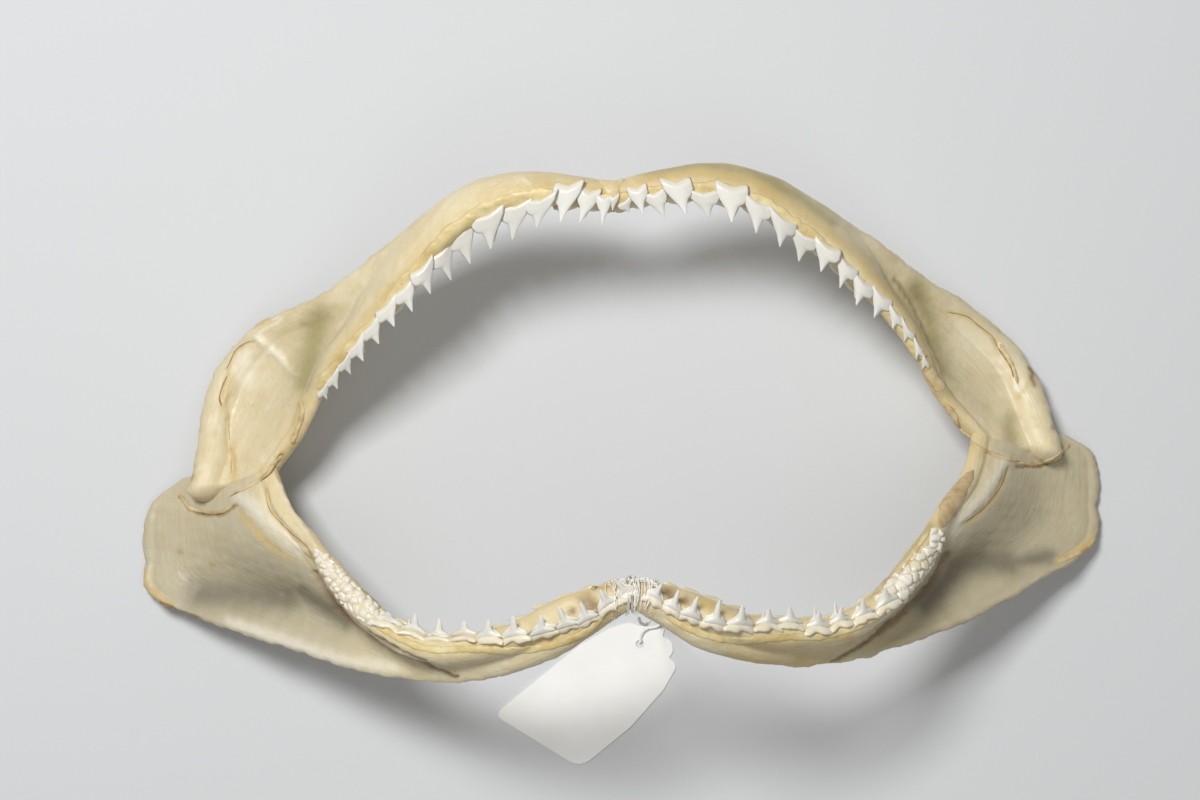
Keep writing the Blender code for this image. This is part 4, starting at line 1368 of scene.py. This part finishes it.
REST_SPAN = (0.13, 0.62)  # shares of a crown's length that have to be clear of the gum
REST_CLEAR = 0.25  # mm
REST_MOST = 4.5  # mm, the most that a crown's broad end is raised
REST_FOOT = (0.08, 0.1)  # shares of the length where the raised end goes down into the gum


def level_at(v):
    """How far up a tooth a ring is: 0 at the broad end, 1 at the tip."""
    return np.clip((v - FOOT_SHARE) / (1 - FOOT_SHARE), 0, 1)


def rest_on(name, verts, v, turn):
    """Tips a crown up round its point until its face is clear of the gum, seen by the camera."""
    level = level_at(v)
    rays = [(vert.co - Vector(EYE)).normalized() for vert in verts]
    raised = 0.0
    for k in np.flatnonzero((v > REST_SPAN[0]) & (v < REST_SPAN[1]) & (np.sin(turn) > -0.1)):
        hits = [tree.ray_cast(Vector(EYE), rays[k]) for tree in skin_trees[name]]
        hits = [hit[3] for hit in hits if hit[0] is not None]
        if hits:
            buried = (verts[k].co - Vector(EYE)).length - min(hits) + REST_CLEAR
            raised = max(raised, buried / (1 - level[k]))
    raised = min(raised, REST_MOST)
    for vert, ray, share in zip(verts, rays, np.interp(v, REST_FOOT, (0, 1)) * (1 - level)):
        vert.co -= ray * (raised * share)


def stand(bm, axes, shape, grid, offset=(0, 0, 0), resting=None):
    """Lays one tooth and moves it to its axes. offset is (along, toward the tip, forward)."""
    base, along, toward, front = (Vector(part) for part in axes)
    made, v, turn = lay(bm, *grid, shape)
    place = base + along * offset[0] + toward * offset[1] + front * offset[2]
    turned = Matrix((along, toward, front)).transposed()
    for vert in made:
        vert.co = turned @ vert.co + place
    if resting:
        rest_on(resting, made, v, turn)
    paint(bm, made, "level", level_at(v))
    paint(bm, made, "root", np.clip(1 - v / ROOT_SHARE, 0, 1))


def axes_at(base, along, toward, like=(0, 0, 1)):
    """A tooth's place: its base, the way along the row, to its tip, and the way it faces."""
    front = unit(np.cross(along, toward))
    return base, along, toward, front if front @ np.array(like) > 0 else -front


def spacing(points):
    """How far apart the points of a line are, round each of them."""
    gaps = np.linalg.norm(np.diff(points, axis=0), axis=1)
    return (np.append(gaps, gaps[-1]) + np.append(gaps[0], gaps)) / 2


def tooth_chance(jaw, number):
    """The random source of one tooth and of those behind it."""
    first = UPPER_SEED if jaw.upper else LOWER_SEED
    return np.random.default_rng(first + number + (LEFT_SEED if jaw.side == "left" else 0))


def finish_teeth(jaw, pieces):
    for bm, label, finish in pieces:
        weld(bm)
        finish_piece(bm, f"{jaw.kind}_{label}_{jaw.side}", finish)


def share_near(jaw, distance, points):
    """The share along a half of the place on this line over the brink nearest each point."""
    shares = np.linspace(0, 1, FINE_STEPS)
    line = jaw.over_brink(shares, distance)
    return np.array([shares[np.argmin(np.linalg.norm(line - point, axis=1))] for point in points])


def folded_axes(jaw, share, behind, along):
    """A crown lying folded against the back of the bar, its tip away from the brink."""
    foot = jaw.over_brink(share, -behind)[0]
    beyond = jaw.over_brink(share, -behind - 1.5)[0]
    out = unit(jaw.over_brink(share, -behind - 1, 1.0)[0] - jaw.over_brink(share, -behind - 1)[0])
    toward = unit(beyond - foot + out * FOLDED_LEAN)
    return axes_at(foot + out * FOLDED_LIFT, along, toward, out)


def upper_teeth(side):
    """The front row of blades, and the younger rows folded behind them."""
    jaw = halves[f"upper_jaw_{side}"]
    front = painted("level", "root")
    spare = painted("level", "root")
    tops, tips = zip(*UPPER_CROWNS[side])
    bases, _ = on_skin([jaw.name], tops)
    alongs = unit(np.gradient(bases, axis=0))
    widths = CROWN_OVERLAP * spacing(bases)
    shares = share_near(jaw, CROWN_LINE, bases)
    for number, (tip, along, width) in enumerate(zip(tips, alongs, widths)):
        chance = tooth_chance(jaw, number)
        base = bases[number] + unit(EYE - bases[number]) * CROWN_STAND
        reach = level_with(tip, base[2] - TIP_DROP) - base
        height = np.linalg.norm(reach)
        toward = reach / height
        slant = np.interp(number, (0, 3, 7, 10), (0, 0.1, 0.6, 1))
        corners = np.interp(number, (0, 2, 5, 16), (1.2, 2.8, 2.3, 0.9))
        ahead = CROWN_FORWARD[number % 2]
        shape = crown_shape(width, height, slant, corners, number + 7)
        stand(front, axes_at(base, along, toward), shape, CROWN_GRID, (0, 0, ahead), jaw.name)
        toward = unit(toward + (0, 0, -chance.uniform(0.25, 0.6)))
        wide, high = NEXT_CROWN_SIZE
        shape = crown_shape(width * wide, height * high, slant, corners, number + 8)
        axes = axes_at(base + (0, 0, -NEXT_CROWN_DROP), along, toward)
        stand(spare, axes, shape, NEXT_CROWN_GRID, (chance.uniform(-1.6, 1.6), -0.6, 0))
        for row, distance in enumerate(UPPER_SPARE_ROWS if number < SPARE_LAST else ()):
            small = SPARE_CROWN_SIZE[0] - SPARE_CROWN_SIZE[1] * row
            shape = crown_shape(width * small, height * small, slant, corners, number + 9)
            axes = folded_axes(jaw, shares[number : number + 1], distance, along)
            offset = (chance.uniform(-0.5, 0.5), 0, 0.4 * (number % 2))
            stand(spare, axes, shape, SPARE_CROWN_GRID, offset)
    finish_teeth(jaw, ((front, "teeth", enamel), (spare, "spare_teeth", spare_enamel)))


# ---------------------------------------------------------------- lower teeth

# Where the camera sees the lower teeth, from the symphysis back: the middle of the foot, then
# the tip.
LOWER_CUSPS = {
    "left": (
        ((625, 592), (614.5, 578.5)),
        ((607, 603), (599.6, 589)),
        ((586.5, 616), (580, 600.8)),
        ((566, 622), (557.5, 605)),
        ((542.5, 629), (540.8, 614.6)),
        ((515, 634), (513.4, 615.4)),
        ((488.7, 636), (488.7, 619)),
        ((464, 635), (464, 620)),
        ((438.5, 636), (439.2, 617.4)),
        ((414, 631), (415.4, 613)),
        ((389, 622), (388.4, 611.6)),
    ),
    "right": (
        ((655, 596), (662.4, 582.4)),
        ((673, 606), (679, 589.2)),
        ((691, 613), (698, 595.6)),
        ((715, 620), (719.6, 599)),
        ((739.5, 623), (742.6, 604.4)),
        ((768, 623), (768.6, 608)),
        ((790, 622), (789.4, 606.4)),
        ((818, 626), (818.6, 611)),
        ((840, 621), (841.4, 606)),
        ((863, 614), (862.6, 598.4)),
        ((886, 602), (884.4, 587.4)),
    ),
}
# A few second cusps show behind the first ones: the middle of the foot, then the tip.
SECOND_CUSPS = {
    "left": (((409, 628), (409.5, 619)),),
    "right": (((764, 622), (763, 611)), ((815, 622), (814.4, 604.8)), ((836, 617), (834.4, 600.8))),
}
FOOT_OVERLAP = 1.1  # foot width as a share of the spacing
CUSP_RISE = 3.5  # mm, from the foot to the tip
FOOT_STAND = 1.0  # mm, of the foot's middle over the skin
ROOT_STAND = 0.5  # mm, of the root's middle over the skin
ROOT_DROP = 4.0  # pixels from the cusp's foot to the middle of its root
SECOND_WIDTH = 6.5  # mm
SECOND_SINK = 0.8  # mm that a second cusp's foot lies deeper
CUSP_LINE = 9.0  # mm over the brink, the line that the cusps' places are found along
CUSP_GRID = (28, 10)
SECOND_CUSP_GRID = (24, 10)
ROOT_GRID = (22, 10)
LYING_CUSP_GRID = (18, 8)
LYING_CUSP_SIZE = (0.98, 0.42)  # width and height, as shares of the cusp over it
SPARE_CUSP_GRID = (16, 8)
SPARE_CUSP_SIZE = (0.9, 0.8, 0.1)  # width, height, and the height that each row loses
# Half the width of a lower crown, as a share of its foot's: (mm up from the foot, share).
SHOULDERS = (
    (-1.2, 0.42),
    (-0.4, 0.5),
    (0.3, 0.44),
    (0.9, 0.27),
    (1.6, 0.17),
    (2.4, 0.135),
    (3.6, 0.12),
)


def spike_shape(width, height, seed, full=1.0):
    """A lower crown: a slim cusp with wide shoulders, which are full up to this height in mm."""
    chance = np.random.default_rng(seed)
    thin = chance.uniform(0.94, 1.08)

    def place(v, turn):
        up = np.interp(v, (0, 0.05, 0.1, 0.4, 1), (-1.2, -1.2, -0.6, 0.32 * height, height))
        foot = np.interp(up, *zip(*SHOULDERS))
        foot = np.maximum(foot, np.interp(up, (0, full), (0.44, 0.12)))
        cusp = np.interp(up / height, (0, 0.4, 0.7, 0.92, 1), (1, 0.97, 0.76, 0.38, 0.06))
        half = foot * width * cusp * thin
        shut = np.clip(v / 0.05, 0, 1) * (v < 0.9999)
        x = half * np.cos(turn) * shut
        deep = np.interp(up / height, (-0.2, 0.1, 0.25, 0.6, 1), (0.9, 1.35, 1.25, 0.8, 0.07))
        z = np.sin(turn) * (deep * shut) * np.where(np.sin(turn) > 0, 0.9, 1.1)
        drop = np.abs(x / (width / 2)) ** 2 * np.clip(1 - up / 3, 0, 1)
        high = np.clip(up / height, 0, 1)
        return np.stack((x, up - 1.3 * drop, z - 0.7 * drop + 0.05 * height * high**2), axis=1)

    return place


def boat_shape(width, seed):
    """A lower tooth's two-lobed root."""
    chance = np.random.default_rng(seed)
    notch = chance.uniform(0.5, 1.0)
    lean = chance.uniform(-0.25, 0.25)

    def place(v, turn):
        side = np.cos(v * math.pi)
        x = -side * width / 2
        full = np.sin(v * math.pi) ** 0.5
        lobes = 1 - notch * 0.4 * np.exp(-(((side - lean) / 0.2) ** 2))
        deep = 1 + 0.22 * np.cos(side * 5.5 + lean * 9)
        below = np.where(np.cos(turn) < 0, lobes * deep, 0.8)
        y = np.cos(turn) * 2.1 * full * below - 0.9 * side**2
        z = np.sin(turn) * 1.15 * full * (0.5 + 0.5 * lobes) - 1.1 * side**2
        return np.stack((x, y, z), axis=1)

    return place


def lower_teeth(side):
    """Slim cusps on their roots, and the crowns waiting behind them."""
    jaw = halves[f"lower_jaw_{side}"]
    front = painted("level", "root")
    roots = painted("level", "root")
    spare = painted("level", "root")
    pixels, tips = (np.array(part, float) for part in zip(*LOWER_CUSPS[side]))
    feet, facings = on_skin([jaw.name], pixels)
    row = unit(np.gradient(pixels, axis=0)) * jaw.sign
    away = np.stack((-row[:, 1], row[:, 0]), axis=1) * ROOT_DROP
    root_places, root_facings = on_skin([jaw.name], pixels + away)
    root_places = root_places + root_facings * ROOT_STAND
    alongs = unit(np.gradient(feet, axis=0))
    widths = FOOT_OVERLAP * spacing(feet)
    shares = share_near(jaw, CUSP_LINE, feet)
    for number, (tip, along, out, width) in enumerate(zip(tips, alongs, facings, widths)):
        chance = tooth_chance(jaw, number)
        level = unit(np.cross(out, along))
        level = level if level[1] > 0 else -level
        base = feet[number] + out * FOOT_STAND
        reach = level_with(tip, base[2] + CUSP_RISE) - base
        height = np.linalg.norm(reach)
        shape = spike_shape(width, height, number + 3)
        stand(front, axes_at(base, along, reach / height), shape, CUSP_GRID)
        shape = boat_shape(width * chance.uniform(0.99, 1.08), number + 5)
        stand(roots, axes_at(root_places[number], along, level, out), shape, ROOT_GRID)
        wide, high = LYING_CUSP_SIZE
        shape = spike_shape(width * wide, height * high, number + 9, 1.8)
        offset = (chance.uniform(-0.6, 0.6), 1.2, -0.4)
        stand(spare, axes_at(base, along, level, out), shape, LYING_CUSP_GRID, offset)
        wide, high, less = SPARE_CUSP_SIZE
        for row, distance in enumerate(LOWER_SPARE_ROWS):
            shape = spike_shape(width * wide, height * (high - less * row), number + 11)
            axes = folded_axes(jaw, shares[number : number + 1], distance, along)
            stand(spare, axes, shape, SPARE_CUSP_GRID, (0, 0, -0.3))
    for number, (foot, tip) in enumerate(SECOND_CUSPS[side]):
        here, out = on_skin([jaw.name], [foot])
        base = here[0] + out[0] * (FOOT_STAND - SECOND_SINK)
        reach = level_with(tip, base[2] + CUSP_RISE) - base
        along = alongs[np.argmin(np.linalg.norm(feet - base, axis=1))]
        shape = spike_shape(SECOND_WIDTH, np.linalg.norm(reach), number + 21)
        stand(front, axes_at(base, along, unit(reach)), shape, SECOND_CUSP_GRID)
    finish_teeth(
        jaw,
        (
            (front, "teeth", enamel),
            (roots, "tooth_roots", root_bone),
            (spare, "spare_teeth", spare_enamel),
        ),
    )


for side in SIDES:
    upper_teeth(side)
    lower_teeth(side)

# ---------------------------------------------------------------- thread and tag

# The middle of the tag's thread, from the lashing to the hole, in mm.
THREAD_ROUTE = (
    (2.5, -84.5, 118),
    (3.1, -86.6, 114),
    (4.2, -88.2, 105),
    (5.4, -89.4, 92),
    (6.3, -90.2, 75),
    (7.0, -90.8, 56),
    (7.6, -91.4, 38),
    (8.6, -92.2, 21),
    (10.6, -93.8, 9),
    (12.4, -95.6, 3.0),
    (10.4, -97.6, 2.0),
    (6.0, -98.4, 2.0),
    (3.6, -100.6, 2.0),
    (2.9, -104.6, 0.9),
)
THREAD_DIAMETER = 1.3  # mm, of the whole bundle
STRAND_RADIUS = 0.26
STRANDS = 4
STRAND_TWIST = 9.0  # mm to one turn
THREAD_STEPS = 161


def beside(line, lean):
    """At each point of a line, two ways square to it and to each other."""
    ahead = unit(np.gradient(line, axis=0))
    side = unit(np.cross(ahead, lean))
    return side, np.cross(side, ahead)


def ring(side, over, turn):
    """The way out from a line at each angle round it."""
    return side * np.cos(turn)[:, None] + over * np.sin(turn)[:, None]


def strand(bm, line, radius, sides=6):
    """One round strand along a line of points, with closed ends."""
    walked = walk(line)
    table = np.column_stack((line, *beside(line, (0.31, 0.17, 0.93))))

    def place(v, turn):
        here = [np.interp(v, walked / walked[-1], numbers) for numbers in table.T]
        middle, side, over = (np.stack(here[k : k + 3], axis=1) for k in (0, 3, 6))
        shut = ((v > 0.0001) & (v < 0.9999))[:, None]
        return middle + ring(side, over, turn) * radius * shut

    lay(bm, len(line) * 2, sides, place)


def tag_thread():
    """The bundle of strands from the lashing down to the hole in the tag."""
    steps = len(THREAD_ROUTE) - 1
    table = [(k / steps, *place) for k, place in enumerate(THREAD_ROUTE)]
    route = smooth(table, np.linspace(0, 1, THREAD_STEPS))
    walked = walk(route)
    side, over = beside(route, (0.2, 0.9, 0.1))
    bm = bmesh.new()
    for k in range(STRANDS):
        turn = walked / STRAND_TWIST * 2 * math.pi + k * 2 * math.pi / STRANDS
        reach = (THREAD_DIAMETER / 2 - STRAND_RADIUS) * (1 + 0.2 * np.sin(walked * 0.5 + 2 * k))
        strand(bm, route + ring(side, over, turn) * reach[:, None], STRAND_RADIUS)
    weld(bm)
    piece = finish_piece(bm, "tag_thread_bundle", thread, ("tag_thread",))


LASHING_LOOPS = 34
LASHING_FULL = 11  # loops that go all the way round
LASHING_HALF_WIDTH = 11.0  # mm
LASHING_ALONG = 16  # strands that lie along the jaw, over the loops
LASHING_ENDS = 70  # fine loose ends
LOOP_RADII = (0.09, 0.2)  # mm, of the loops' strands
ALONG_RADII = (0.1, 0.18)
END_RADIUS = 0.05
# The line of the strands along the jaw, as the camera sees it: (share of the way, pixel).
LASHING_TOP = (
    (0, 612, 583),
    (0.2, 621, 580),
    (0.45, 633, 578),
    (0.65, 644, 579),
    (0.85, 655, 585),
    (1, 662, 591),
)


def lashing():
    """A tangle of fine strands wound round the lower jaw where its two halves meet."""
    jaw = halves["lower_jaw_right"]
    chance = np.random.default_rng(41)
    bm = bmesh.new()
    middle = jaw.place(0.0, 0.5, 0.0)[0]
    for k in range(LASHING_LOOPS):
        if k < LASHING_FULL:
            turn = (np.linspace(0, 1, 61) + chance.uniform(0, 1)) * 2 * math.pi
            spread, slope = 0.3, 4
        else:
            turn = np.linspace(chance.uniform(-1.6, -0.4), chance.uniform(0.9, 1.9), 31)
            spread, slope = 0.75, 14
        at = chance.uniform(-1, 1) * LASHING_HALF_WIDTH * spread
        lean = chance.uniform(-slope, slope)
        x = at + lean * np.sin(turn + chance.uniform(0, 6)) * 0.5
        facing = np.where(np.sin(turn) > 0, 1.0, -1.0)
        skin = jaw.place(np.abs(x) / HALF_LENGTH, across_at(turn), facing)
        skin[:, 0] = x
        out = skin - middle
        out[:, 0] = 0
        lift = 0.9 + chance.uniform(0, 0.8) + 0.25 * np.sin(turn * 3 + k)
        strand(bm, skin + unit(out) * lift[:, None], chance.uniform(*LOOP_RADII), 5)
    for _ in range(LASHING_ALONG):
        wave = chance.uniform(0, 6, 3)
        far = np.linspace(chance.uniform(0, 0.3), chance.uniform(0.7, 1), 25)
        stray = (np.sin(far * 9 + wave[0]), 1.6 + 1.6 * np.sin(far * 7 + wave[1]))
        pixels = smooth(LASHING_TOP, far) + np.stack(stray, axis=1)
        skin, facings = on_skin(("lower_jaw_left", "lower_jaw_right"), pixels)
        lift = 1.1 + 0.5 * np.sin(far * 11 + wave[2])
        strand(bm, skin + facings * lift[:, None], chance.uniform(*ALONG_RADII), 5)
    for _ in range(LASHING_ENDS):
        turn = chance.uniform(-0.4, 2.6)
        x = chance.uniform(-LASHING_HALF_WIDTH, LASHING_HALF_WIDTH)
        skin = jaw.place(abs(x) / HALF_LENGTH, across_at(turn), 1 if math.sin(turn) > 0 else -1)[0]
        skin[0] = x
        out = unit(np.array((0, *(skin - middle)[1:])) + chance.normal(size=3) * 0.35)
        curl = chance.normal(size=3) * 1.2
        far = np.linspace(0, 1, 9)[:, None]
        strand(bm, skin + out * (0.6 + far * chance.uniform(1, 2.6)) + curl * far**2, END_RADIUS, 4)
    weld(bm, 0.001)
    finish_piece(bm, "symphysis_thread", thread, ("symphysis_lashing",))


tag_thread()
lashing()
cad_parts["tag"].data.materials.clear()
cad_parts["tag"].data.materials.append(paper)

# ---------------------------------------------------------------- floor and light


FLOOR_HALF = 4  # m
FLOOR_GREY = (0.64, 0.65, 0.66, 1)
WARM_WHITE = (1.0, 0.98, 0.95, 1)


def stage():
    bm = bmesh.new()
    bmesh.ops.create_grid(bm, x_segments=4, y_segments=4, size=FLOOR_HALF)
    mesh = bpy.data.meshes.new("floor")
    bm.to_mesh(mesh)
    bm.free()
    floor = bpy.data.objects.new("floor", mesh)
    bpy.context.collection.objects.link(floor)
    paint = Finish("floor_grey", 0.9)
    paint.shader.inputs["Base Color"].default_value = FLOOR_GREY
    mesh.materials.append(paint.material)


def soft_light(name, place, size, power, aim=(0, 0.02, 0.05)):
    lamp = bpy.data.lights.new(name, "AREA")
    lamp.size = size
    lamp.energy = power
    holder = bpy.data.objects.new(name, lamp)
    holder.location = place
    holder.rotation_euler = (Vector(aim) - Vector(place)).to_track_quat("-Z", "Y").to_euler()
    bpy.context.collection.objects.link(holder)


stage()
soft_light("key", (-0.42, 0.68, 1.5), 0.45, 24)
soft_light("fill", (0.25, -0.55, 1.7), 1.4, 6)
world = bpy.data.worlds.new("studio")
bpy.context.scene.world = world
world.use_nodes = True
glow = world.node_tree.nodes["Background"].inputs
glow["Color"].default_value = WARM_WHITE
glow["Strength"].default_value = 0.17
bpy.context.scene.view_settings.view_transform = "Standard"
